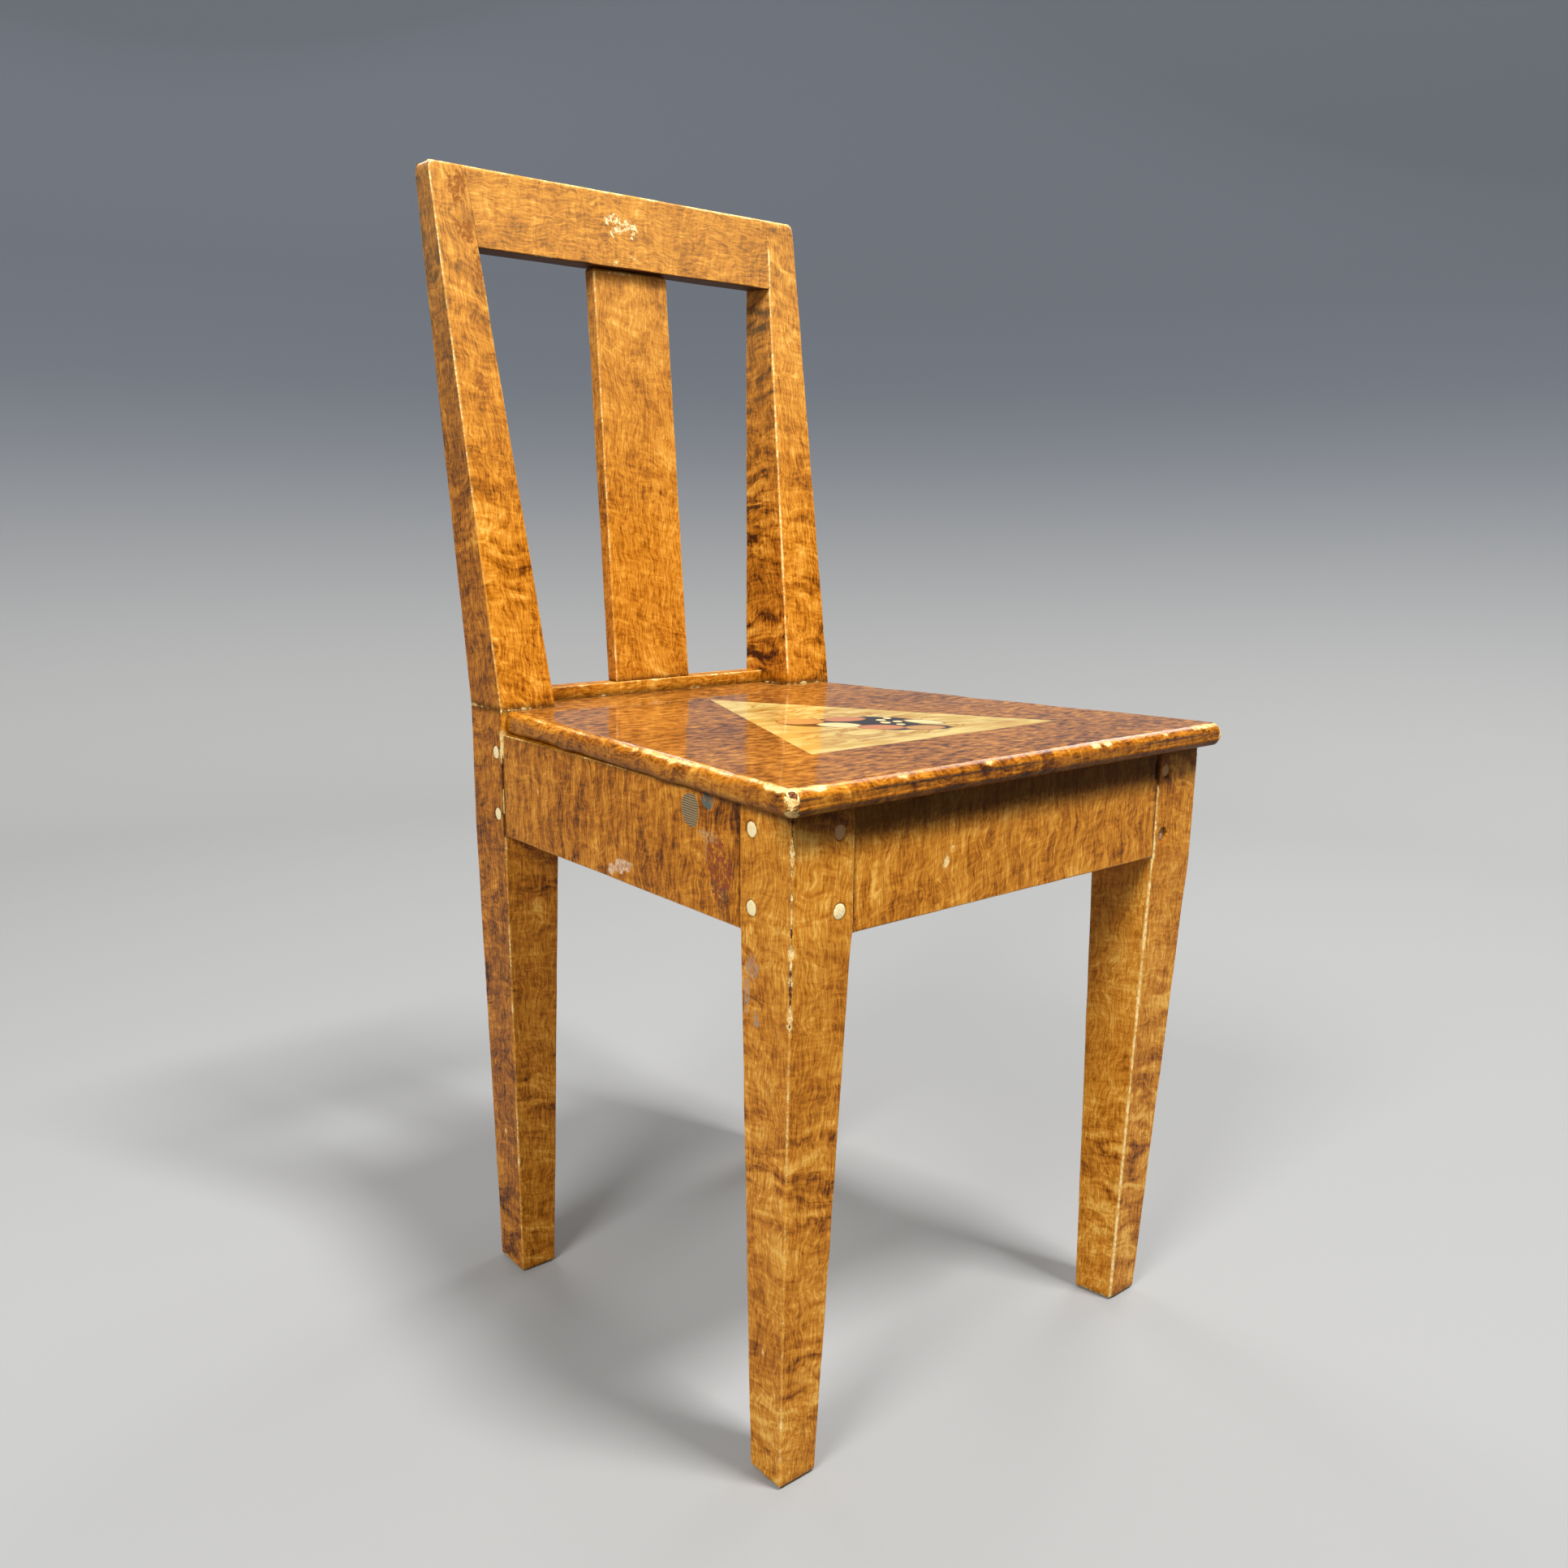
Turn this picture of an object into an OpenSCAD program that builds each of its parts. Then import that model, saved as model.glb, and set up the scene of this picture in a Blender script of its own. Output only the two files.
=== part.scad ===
// Wooden side chair: plank seat, tapered front legs, raked back posts, one flat splat, pegged joints.
// Millimetres. The front faces -Y and +Z is up. It stands on z = 0, centred in plan.

/* [Overall] */
// Height of the seat's top face above the floor
seat_h = 460; // [380:1:560]
// Height of the back's top edge above the floor
back_h = 844; // [700:1:1020]
// Width across the outer faces of the front legs
frame_w_front = 404; // [340:1:490]
// Width across the outer faces of the back posts, at their front faces
frame_w_back = 336; // [280:1:400]
// Distance from the front faces of the front legs to the front faces of the back posts
frame_d = 356; // [290:1:430]

/* [Seat board] */
// Thickness of the seat board
seat_t = 17; // [14:0.5:21]
// How far the seat stands past the front faces of the front legs
seat_front_over = 13; // [8:0.5:18]
// How far the seat's sides stand past the outer faces of the front legs
seat_side_over = 11.5; // [6:0.5:18]
// How far the seat's sides lie inside the outer faces of the back posts
seat_back_in = 4; // [2:0.5:8]
// Radius on the upper and lower edges of the seat
seat_edge_r = 6; // [2:0.5:7]

/* [Front legs] */
// Width of a front leg above its taper
leg_w = 49; // [40:0.5:60]
// Depth of a front leg above its taper
leg_d = 50; // [41:0.5:60]
// How far the outer face comes in at the foot
leg_foot_out = 8; // [0:0.5:12]
// How far the inner face comes in at the foot
leg_foot_in = 10; // [0:0.5:14]
// How far the front face comes in at the foot
leg_foot_front = 15; // [0:0.5:18]
// How far the rear face comes in at the foot
leg_foot_rear = 3; // [0:0.5:10]

/* [Back posts] */
// Width of a back post at the seat
post_w = 48; // [40:0.5:58]
// Depth of a back post at the seat
post_d = 51; // [51:0.5:62]
// How far the outer face comes in at the foot
post_foot_out = 3; // [0:0.5:8]
// How far the inner face comes in at the foot
post_foot_in = 14; // [0:0.5:18]
// How far the front face comes in at the foot
post_foot_front = 2; // [0:0.5:8]
// How far the rear face comes in at the foot
post_foot_rear = 11; // [0:0.5:16]
// How far the back leans back from the seat to its top edge
back_rake = 61; // [40:1:75]
// How far the posts' outer faces swing out, from the line of the side aprons, at the top
post_spread = 12; // [6:0.5:16]
// Width of a back post at its top
post_top_w = 30; // [27:0.5:38]
// Thickness of the top rail, and of the posts at their tops
back_t = 24; // [20:0.5:29]

/* [Aprons] */
// Height of the front and side aprons
apron_h = 77; // [62:0.5:94]
// Thickness of the front and side aprons
apron_t = 20; // [16:0.5:24]
// Thickness of the rail between the back posts at the seat
seat_rail_t = 17; // [14:0.5:18]
// How far that rail's front face lies behind the posts' front faces
seat_rail_setback = 32; // [30:0.5:33]
// How far that rail stands up above the seat
seat_rail_rise = 10; // [6:0.5:16]

/* [Top rail and splat] */
// Height of the top rail
top_rail_h = 56; // [46:0.5:68]
// Width of the splat at the seat
splat_w_low = 75; // [62:0.5:90]
// Width of the splat under the top rail
splat_w_top = 71; // [59:0.5:86]
// Thickness of the splat
splat_t = 12; // [10:0.5:14]
// How far the splat lies behind the front of the top rail
splat_recess = 7; // [4:0.5:9]

/* [Joints] */
// Thickness of the tenons on the aprons and rails
tenon_t = 8; // [6:0.5:10]
// Length of the tenons on the aprons and the seat rail
tenon_l = 28; // [23:0.5:32]
// Length of the top rail's tenons
rail_tenon_l = 18; // [14:0.5:20]
// How far a tenon is cut in from the upper and lower edges of its apron or rail
tenon_shoulder = 5; // [3:0.5:8]
// Thickness of the splat's stub tenons
splat_tenon_t = 6; // [5:0.5:8]
// Length of the splat's stub tenons
splat_tenon_l = 8; // [6:0.5:10]
// Gap left on each side of a tenon in its mortise
tenon_gap = 0.15; // [0.1:0.05:0.3]
// Gap left at the bottom of a mortise
mortise_end_gap = 1.5; // [0.5:0.5:2]
// Diameter of the draw pegs
peg_d = 10; // [8:0.5:12]
// Length of the draw pegs
peg_l = 24; // [20:0.5:27]
// Distance from a joint's shoulder to its pegs' centres
peg_in = 11; // [9:0.5:14]
// Distance from an apron's edge to the nearest peg's centre
peg_edge = 15; // [12:0.5:18]
// Gap all round a peg in its hole
peg_gap = 0.05; // [0.03:0.01:0.1]

/* [Corner blocks and seat screws] */
// Length of a corner block along each apron, from the leg or post
block_l = 55; // [46:1:66]
// Height of a corner block
block_h = 30; // [25:1:36]
// Shank diameter of a seat screw
screw_d = 4.5; // [4:0.5:5.5]
// Head diameter of a seat screw
screw_head_d = 8.5; // [7:0.5:10]
// How far a seat screw runs up into the seat
screw_grip = 10; // [8:0.5:12]
// Gap all round a screw in its corner block
screw_gap = 0.25; // [0.1:0.05:0.4]
// Gap between the seat board and the posts and rail behind it
seat_gap = 0.3; // [0.2:0.1:0.6]

/* [Hidden] */
$fn = 64;

// Finishes
amber = [0.73, 0.46, 0.17];
russet = [0.58, 0.36, 0.20];
peg_pale = [0.93, 0.86, 0.68];
bare_pine = [0.76, 0.62, 0.42];
steel_grey = [0.45, 0.45, 0.46];

// Levels
seat_under = seat_h - seat_t;
apron_z = seat_under - apron_h;
rail_z = back_h - top_rail_h;
seat_rail_top = seat_h + seat_rail_rise;
peg_zs = [apron_z + peg_edge, seat_under - peg_edge];

// The side aprons run in towards the back at this angle, the seat's sides at this one
taper_a = atan((frame_w_front - frame_w_back) / 2 / frame_d);
seat_x_front = frame_w_front / 2 + seat_side_over;
seat_x_back = frame_w_back / 2 - seat_back_in;
seat_a = atan((seat_x_front - seat_x_back) / frame_d);

// Depths, measured back from the front legs' front faces
seat_rail_y = frame_d + seat_rail_setback;
back_top_y = frame_d + back_rake;
rearmost_y = max(back_top_y + back_t, frame_d + post_d);
middle_y = (rearmost_y - seat_front_over) / 2;

// Reach of the cutting blocks, past every piece
reach = 2 * max(back_h, frame_w_front, frame_d);
// Overrun of a cut past the face it starts from
over = 1;

// Half width to a line that lies in, by in, from the outer faces of the side aprons, at depth y
function line_x(y, in) = frame_w_front / 2 - y * tan(taper_a) - in / cos(taper_a);
// Depth of the back's front face at height z
function rake_y(z) = frame_d + back_rake * (z - seat_h) / (back_h - seat_h);
// Depth of the splat's front face at height z
splat_low_y = seat_rail_y + (seat_rail_t - splat_t) / 2;
splat_top_y = rake_y(rail_z) + splat_recess;
splat_slope = (splat_top_y - splat_low_y) / (rail_z - seat_rail_top);
function splat_y(z) = splat_low_y + splat_slope * (z - seat_rail_top);

// Outlines seen from the front, measured in from the outer face
leg_front_view = [
    [leg_foot_out, 0], [leg_w - leg_foot_in, 0], [leg_w, apron_z],
    [leg_w, seat_under], [0, seat_under], [0, apron_z]
];
post_inner_edge = [
    [post_w - post_foot_in, 0], [post_w, apron_z], [post_w, seat_h], [post_top_w - post_spread, back_h]
];
post_outer_edge = [[-post_spread, back_h], [0, seat_h], [0, apron_z], [post_foot_out, 0]];

// Outlines seen from the side: depth, then height
leg_side_view = [
    [leg_foot_front, 0], [leg_d - leg_foot_rear, 0], [leg_d, apron_z],
    [leg_d, seat_under], [0, seat_under], [0, apron_z]
];
post_side_view = [
    [frame_d + post_foot_front, 0], [frame_d + post_d - post_foot_rear, 0],
    [frame_d + post_d, apron_z], [frame_d + post_d, seat_h],
    [back_top_y + back_t, back_h], [back_top_y, back_h],
    [frame_d, seat_h], [frame_d, apron_z]
];

// Corner block outlines, on the left: four faces on apron, leg and rail, and the long face to the middle
front_block = [
    [-line_x(apron_t, leg_w), apron_t],
    [-line_x(apron_t, leg_w) + block_l, apron_t],
    [-line_x(leg_d + block_l, apron_t), leg_d + block_l],
    [-line_x(leg_d, apron_t), leg_d],
    [-line_x(leg_d, leg_w), leg_d]
];
back_block = [
    [-line_x(seat_rail_y, post_w), seat_rail_y],
    [-line_x(seat_rail_y, post_w) + block_l, seat_rail_y],
    [-line_x(frame_d - block_l, apron_t), frame_d - block_l],
    [-line_x(frame_d, apron_t), frame_d],
    [-line_x(frame_d, post_w), frame_d]
];
// A screw stands midway between a block's notched corner and the middle of its long face
function screw_at(block) = (block[4] + (block[1] + block[2]) / 2) / 2;

// Moves everything drawn from the front legs' front faces into the chair's centred frame
module in_chair() {
    translate([0, -middle_y, 0]) children();
}

// The left apron's own frame: x inwards from its outer face, y back along it
module side_frame() {
    translate([-frame_w_front / 2, 0, 0]) rotate([0, 0, -taper_a]) children();
}

module to_right() {
    mirror([1, 0, 0]) children();
}

// Extrudes an outline seen from the front (x, z) from depth y0 to y1
module along_y(y0, y1) {
    translate([0, y1, 0]) rotate([90, 0, 0]) linear_extrude(y1 - y0) children();
}

// Extrudes an outline seen from the side (y, z) from x0 to x1
module along_x(x0, x1) {
    translate([x0, 0, 0]) rotate([90, 0, 90]) linear_extrude(x1 - x0) children();
}

// A rectangle between two corners
module box_2d(a, b) {
    translate(a) square(b - a);
}

// Everything between the left and right inner edges, less grow on each side
module between(inner_edge, grow) {
    outline = [for (p = inner_edge) [p[0] - grow, p[1]]];
    intersection() {
        half_between(outline);
        to_right() half_between(outline);
    }
}

module half_between(outline) {
    side_frame() along_y(-reach, reach) polygon(concat([[reach, 0]], outline, [[reach, back_h]]));
}

// Stock of a side apron's tenons between two depths, grown by gap all round
module side_tenon(y0, y1, gap) {
    low = [(apron_t - tenon_t) / 2 - gap, apron_z + tenon_shoulder - gap];
    high = [(apron_t + tenon_t) / 2 + gap, seat_under - tenon_shoulder + gap];
    intersection() {
        side_frame() along_y(-reach, reach) box_2d(low, high);
        along_x(-frame_w_front, 0) box_2d([y0, 0], [y1, seat_h]);
    }
}

// Stock of a cross rail's tenons: front is the rail's front face and t its thickness
module cross_tenon(front, t, gap) {
    low = [front + (t - tenon_t) / 2 - gap, apron_z + tenon_shoulder - gap];
    high = [front + (t + tenon_t) / 2 + gap, seat_under - tenon_shoulder + gap];
    along_x(-frame_w_front, frame_w_front) box_2d(low, high);
}

module leg_inner_tenon(length, gap) {
    intersection() {
        cross_tenon(0, apron_t, gap);
        between([[leg_w, 0], [leg_w, back_h]], length);
    }
}

module post_inner_tenon(length, gap) {
    intersection() {
        cross_tenon(seat_rail_y, seat_rail_t, gap);
        between(post_inner_edge, length);
    }
}

// Raked slab of the top rail, set in from its faces and edges
module rail_slab(face_in, edge_in) {
    low = rail_z + edge_in;
    high = back_h - edge_in;
    along_x(-frame_w_front, frame_w_front) polygon([
        [rake_y(low) + face_in, low], [rake_y(low) + back_t - face_in, low],
        [rake_y(high) + back_t - face_in, high], [rake_y(high) + face_in, high]
    ]);
}

module top_rail_tenon(length, gap) {
    intersection() {
        rail_slab((back_t - tenon_t) / 2 - gap, tenon_shoulder - gap);
        between(post_inner_edge, length);
    }
}

// The splat's two stub tenons as one thin tongue, from below its foot to above its head
module splat_tongue(end_gap, gap) {
    low = seat_rail_top - splat_tenon_l - end_gap;
    high = rail_z + splat_tenon_l + end_gap;
    half = splat_w_top / 2 - tenon_shoulder + gap;
    skin = (splat_t - splat_tenon_t) / 2 - gap;
    along_x(-half, half) polygon([
        [splat_y(low) + skin, low], [splat_y(low) + splat_t - skin, low],
        [splat_y(high) + splat_t - skin, high], [splat_y(high) + skin, high]
    ]);
}

// Two pegs, one above the other, at a point of the plan and driven the way that turn gives
module peg_pair(at, turn, length, gap) {
    for (z = peg_zs) {
        translate([at[0], at[1], z]) rotate([-90, 0, turn]) cylinder(h = length, d = peg_d + 2 * gap);
    }
}

// Pegs through the left leg's and left post's outer faces, driven square to those faces
module side_pegs(start, length, gap) {
    for (y = [leg_d - peg_in, frame_d + peg_in]) {
        along = y / cos(taper_a);
        side_frame() peg_pair([start, along], -90, length, gap);
    }
}

// Pegs through the left leg's front face
module front_pegs(start, length, gap) {
    peg_pair([-line_x(0, leg_w - peg_in), start], 0, length, gap);
}

// Pegs through the left post's rear face
module rear_pegs(start, length, gap) {
    rear = frame_d + post_d;
    peg_pair([-line_x(rear, post_w - peg_in), rear - start], 180, length, gap);
}

module seat_screw(gap) {
    head_h = (screw_head_d - screw_d) / 2;
    cylinder(h = block_h + screw_grip + gap, d = screw_d + 2 * gap);
    cylinder(h = head_h + gap, d1 = screw_head_d + 2 * gap, d2 = screw_d + 2 * gap);
}

module at_screw(block) {
    at = screw_at(block);
    translate([at[0], at[1], seat_under - block_h]) children();
}

module corner_block(block) {
    difference() {
        translate([0, 0, seat_under - block_h]) linear_extrude(block_h) polygon(block);
        at_screw(block) translate([0, 0, -over]) cylinder(h = over + screw_gap, d = screw_head_d + 2 * screw_gap);
        at_screw(block) seat_screw(screw_gap);
    }
}

module leg_shape() {
    difference() {
        intersection() {
            side_frame() along_y(-reach, reach) polygon(leg_front_view);
            along_x(-frame_w_front, 0) polygon(leg_side_view);
        }
        side_tenon(leg_d - tenon_l - mortise_end_gap, leg_d + over, tenon_gap);
        leg_inner_tenon(tenon_l + mortise_end_gap, tenon_gap);
        side_pegs(-over, peg_l + over + mortise_end_gap, peg_gap);
        front_pegs(-over, peg_l + over + mortise_end_gap, peg_gap);
    }
}

module post_shape() {
    difference() {
        intersection() {
            side_frame() along_y(-reach, reach) polygon(concat(post_inner_edge, post_outer_edge));
            along_x(-frame_w_front, 0) polygon(post_side_view);
        }
        side_tenon(frame_d - over, frame_d + tenon_l + mortise_end_gap, tenon_gap);
        post_inner_tenon(tenon_l + mortise_end_gap, tenon_gap);
        top_rail_tenon(rail_tenon_l + mortise_end_gap, tenon_gap);
        side_pegs(-over, peg_l + over + mortise_end_gap, peg_gap);
        rear_pegs(-over, peg_l + over + mortise_end_gap, peg_gap);
    }
}

module side_apron_shape() {
    difference() {
        union() {
            intersection() {
                side_frame() along_y(-reach, reach) box_2d([0, apron_z], [apron_t, seat_under]);
                along_x(-frame_w_front, 0) box_2d([leg_d, 0], [frame_d, seat_h]);
            }
            side_tenon(leg_d - tenon_l, frame_d + tenon_l, 0);
        }
        side_pegs(-over, peg_l + over + mortise_end_gap, peg_gap);
    }
}

// Outline across the seat's edge: the edge at x = 0, rounded above and below
module nose() {
    r = min(seat_edge_r, seat_t / 2 - over);
    box_2d([r, 0], [reach, seat_t]);
    box_2d([0, r], [2 * r, seat_t - r]);
    translate([r, r]) circle(r);
    translate([r, seat_t - r]) circle(r);
}

module seat_side_nose() {
    translate([-seat_x_front, 0, seat_under]) rotate([0, 0, -seat_a]) along_y(-reach, reach) nose();
}

module seat_board() {
    front = -seat_front_over;
    front_x = seat_x_front + seat_front_over * tan(seat_a);
    tongue_y = seat_rail_y - seat_gap;
    tongue_front_x = line_x(frame_d, post_w) - seat_gap;
    tongue_back_x = line_x(tongue_y, post_w) - seat_gap;
    right = [
        [front_x, front], [seat_x_back + seat_gap * tan(seat_a), frame_d - seat_gap],
        [tongue_front_x, frame_d - seat_gap], [tongue_back_x, tongue_y]
    ];
    left = [for (i = [3:-1:0]) [-right[i][0], right[i][1]]];
    color(russet) in_chair() difference() {
        intersection() {
            translate([0, 0, seat_under]) linear_extrude(seat_t) polygon(concat(right, left));
            translate([0, front, seat_under]) along_x(-reach, reach) nose();
            seat_side_nose();
            to_right() seat_side_nose();
        }
        for (block = [front_block, back_block]) {
            at_screw(block) seat_screw(peg_gap);
            to_right() at_screw(block) seat_screw(peg_gap);
        }
    }
}

module front_leg_left() {
    color(amber) in_chair() leg_shape();
}

module front_leg_right() {
    color(amber) in_chair() to_right() leg_shape();
}

module back_post_left() {
    color(amber) in_chair() post_shape();
}

module back_post_right() {
    color(amber) in_chair() to_right() post_shape();
}

module front_apron() {
    color(amber) in_chair() difference() {
        union() {
            intersection() {
                along_x(-frame_w_front, frame_w_front) box_2d([0, apron_z], [apron_t, seat_under]);
                between([[leg_w, 0], [leg_w, back_h]], 0);
            }
            leg_inner_tenon(tenon_l, 0);
        }
        front_pegs(-over, peg_l + over + mortise_end_gap, peg_gap);
        to_right() front_pegs(-over, peg_l + over + mortise_end_gap, peg_gap);
    }
}

module left_apron() {
    color(amber) in_chair() side_apron_shape();
}

module right_apron() {
    color(amber) in_chair() to_right() side_apron_shape();
}

module back_seat_rail() {
    color(amber) in_chair() difference() {
        union() {
            intersection() {
                along_x(-frame_w_front, frame_w_front)
                    box_2d([seat_rail_y, apron_z], [seat_rail_y + seat_rail_t, seat_rail_top]);
                between(post_inner_edge, 0);
            }
            post_inner_tenon(tenon_l, 0);
        }
        splat_tongue(over, tenon_gap);
        rear_pegs(-over, peg_l + over + mortise_end_gap, peg_gap);
        to_right() rear_pegs(-over, peg_l + over + mortise_end_gap, peg_gap);
    }
}

module top_rail() {
    color(amber) in_chair() difference() {
        union() {
            intersection() {
                rail_slab(0, 0);
                between(post_inner_edge, 0);
            }
            top_rail_tenon(rail_tenon_l, 0);
        }
        splat_tongue(over, tenon_gap);
    }
}

module back_splat() {
    color(amber) in_chair() union() {
        intersection() {
            along_x(-frame_w_front, frame_w_front) polygon([
                [splat_y(seat_rail_top), seat_rail_top], [splat_y(seat_rail_top) + splat_t, seat_rail_top],
                [splat_y(rail_z) + splat_t, rail_z], [splat_y(rail_z), rail_z]
            ]);
            along_y(0, rearmost_y) polygon([
                [-splat_w_low / 2, seat_rail_top], [splat_w_low / 2, seat_rail_top],
                [splat_w_top / 2, rail_z], [-splat_w_top / 2, rail_z]
            ]);
        }
        splat_tongue(0, 0);
    }
}

module front_apron_pegs() {
    color(peg_pale) in_chair() {
        front_pegs(0, peg_l, 0);
        to_right() front_pegs(0, peg_l, 0);
    }
}

module left_apron_pegs() {
    color(peg_pale) in_chair() side_pegs(0, peg_l, 0);
}

module right_apron_pegs() {
    color(peg_pale) in_chair() to_right() side_pegs(0, peg_l, 0);
}

module back_rail_pegs() {
    color(peg_pale) in_chair() {
        rear_pegs(0, peg_l, 0);
        to_right() rear_pegs(0, peg_l, 0);
    }
}

module corner_block_front_left() {
    color(bare_pine) in_chair() corner_block(front_block);
}

module corner_block_front_right() {
    color(bare_pine) in_chair() to_right() corner_block(front_block);
}

module corner_block_back_left() {
    color(bare_pine) in_chair() corner_block(back_block);
}

module corner_block_back_right() {
    color(bare_pine) in_chair() to_right() corner_block(back_block);
}

module seat_screws() {
    color(steel_grey) in_chair() for (block = [front_block, back_block]) {
        at_screw(block) seat_screw(0);
        to_right() at_screw(block) seat_screw(0);
    }
}

seat_board();
front_leg_left();
front_leg_right();
back_post_left();
back_post_right();
front_apron();
left_apron();
right_apron();
back_seat_rail();
top_rail();
back_splat();
front_apron_pegs();
left_apron_pegs();
right_apron_pegs();
back_rail_pegs();
corner_block_front_left();
corner_block_front_right();
corner_block_back_left();
corner_block_back_right();
seat_screws();
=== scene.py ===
import math
import bpy
import numpy as np
from mathutils import Matrix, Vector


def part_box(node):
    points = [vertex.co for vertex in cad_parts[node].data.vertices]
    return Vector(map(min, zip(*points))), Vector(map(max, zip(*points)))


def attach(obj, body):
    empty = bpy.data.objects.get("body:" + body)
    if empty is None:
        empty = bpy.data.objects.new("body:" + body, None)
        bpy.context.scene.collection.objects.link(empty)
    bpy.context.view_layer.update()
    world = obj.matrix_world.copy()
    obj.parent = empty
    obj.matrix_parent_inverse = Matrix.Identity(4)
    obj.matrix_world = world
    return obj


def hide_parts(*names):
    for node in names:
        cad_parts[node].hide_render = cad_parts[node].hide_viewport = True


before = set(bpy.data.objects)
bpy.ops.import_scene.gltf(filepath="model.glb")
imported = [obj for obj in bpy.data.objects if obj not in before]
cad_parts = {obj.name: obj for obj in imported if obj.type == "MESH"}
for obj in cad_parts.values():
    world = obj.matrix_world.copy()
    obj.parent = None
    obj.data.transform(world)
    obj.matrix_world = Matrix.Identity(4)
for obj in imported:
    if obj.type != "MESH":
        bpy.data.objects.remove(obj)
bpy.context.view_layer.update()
mm = 0.001
print("frame loaded:", len(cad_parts), "nodes")

# The camera comes first. It stands to the left of the front, a little above the seat, and leans a touch.
camera = {
    "place": (-0.7412, -0.7979, 0.6064),
    "turn": math.radians(-42.4035),   # about +Z, from looking along +Y
    "rise": math.radians(14.0091),    # how far it looks down
    "lean": math.radians(0.6367),
    "lens": 33.69,
    "shiftUp": 0.059,
    "film": 36,
    "nearest": 0.02,
}


def addThing(name, data, axes=None, at=None):
    # an object for data; axes are its own right, up and back where it doesn't stand unturned
    made = bpy.data.objects.new(name, data)
    bpy.context.scene.collection.objects.link(made)
    if axes is not None:
        made.matrix_world = Matrix([[*(axis[i] for axis in axes), at[i]] for i in range(3)] + [[0, 0, 0, 1]])
    return made


def placeCamera(c):
    # lean turns right and up about back
    back = np.array([math.sin(c["turn"]) * math.cos(c["rise"]),
                     -math.cos(c["turn"]) * math.cos(c["rise"]), math.sin(c["rise"])])
    level = np.array([math.cos(c["turn"]), math.sin(c["turn"]), 0.0])
    above = np.cross(back, level)
    right = level * math.cos(c["lean"]) + above * math.sin(c["lean"])
    up = above * math.cos(c["lean"]) - level * math.sin(c["lean"])
    data = bpy.data.cameras.new("camera")
    data.lens = c["lens"]
    data.sensor_width = c["film"]
    data.shift_y = c["shiftUp"]
    data.clip_start = c["nearest"]
    bpy.context.scene.camera = addThing("camera", data, (right, up, back), c["place"])


placeCamera(camera)


def srgb(red, green, blue):
    # screen colour from 0 to 255, as the linear colour that a shader wants
    share = [v / 255 for v in (red, green, blue)]
    return tuple(v / 12.92 if v <= 0.04045 else ((v + 0.055) / 1.055) ** 2.4 for v in share) + (1.0,)


def eachWay(operation):
    # a sum on two values as a method, and the same with the values turned round
    return (lambda self, other: self.maths(operation, self, other),
            lambda self, other: self.maths(operation, other, self))


class Wire:
    # one output socket, so that sums on sockets are written as sums
    def __init__(self, paint, socket):
        self.paint = paint
        self.socket = socket

    def maths(self, operation, *values):
        return self.paint.node("ShaderNodeMath", {"operation": operation}, dict(enumerate(values)))

    __add__, __radd__ = eachWay("ADD")
    __sub__, __rsub__ = eachWay("SUBTRACT")
    __mul__, __rmul__ = eachWay("MULTIPLY")
    __truediv__, __rtruediv__ = eachWay("DIVIDE")
    __pow__ = eachWay("POWER")[0]
    most = eachWay("MAXIMUM")[0]
    least = eachWay("MINIMUM")[0]

    def __abs__(self):
        return self.maths("ABSOLUTE", self)

    def clipped(self):
        return self.paint.node("ShaderNodeClamp", {}, {0: self})

    def step(self, low, high):
        # 0 below low, 1 above high, and smooth between
        return self.paint.node("ShaderNodeMapRange", {"interpolation_type": "SMOOTHSTEP"},
                               {"Value": self, "From Min": low, "From Max": high})


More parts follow.
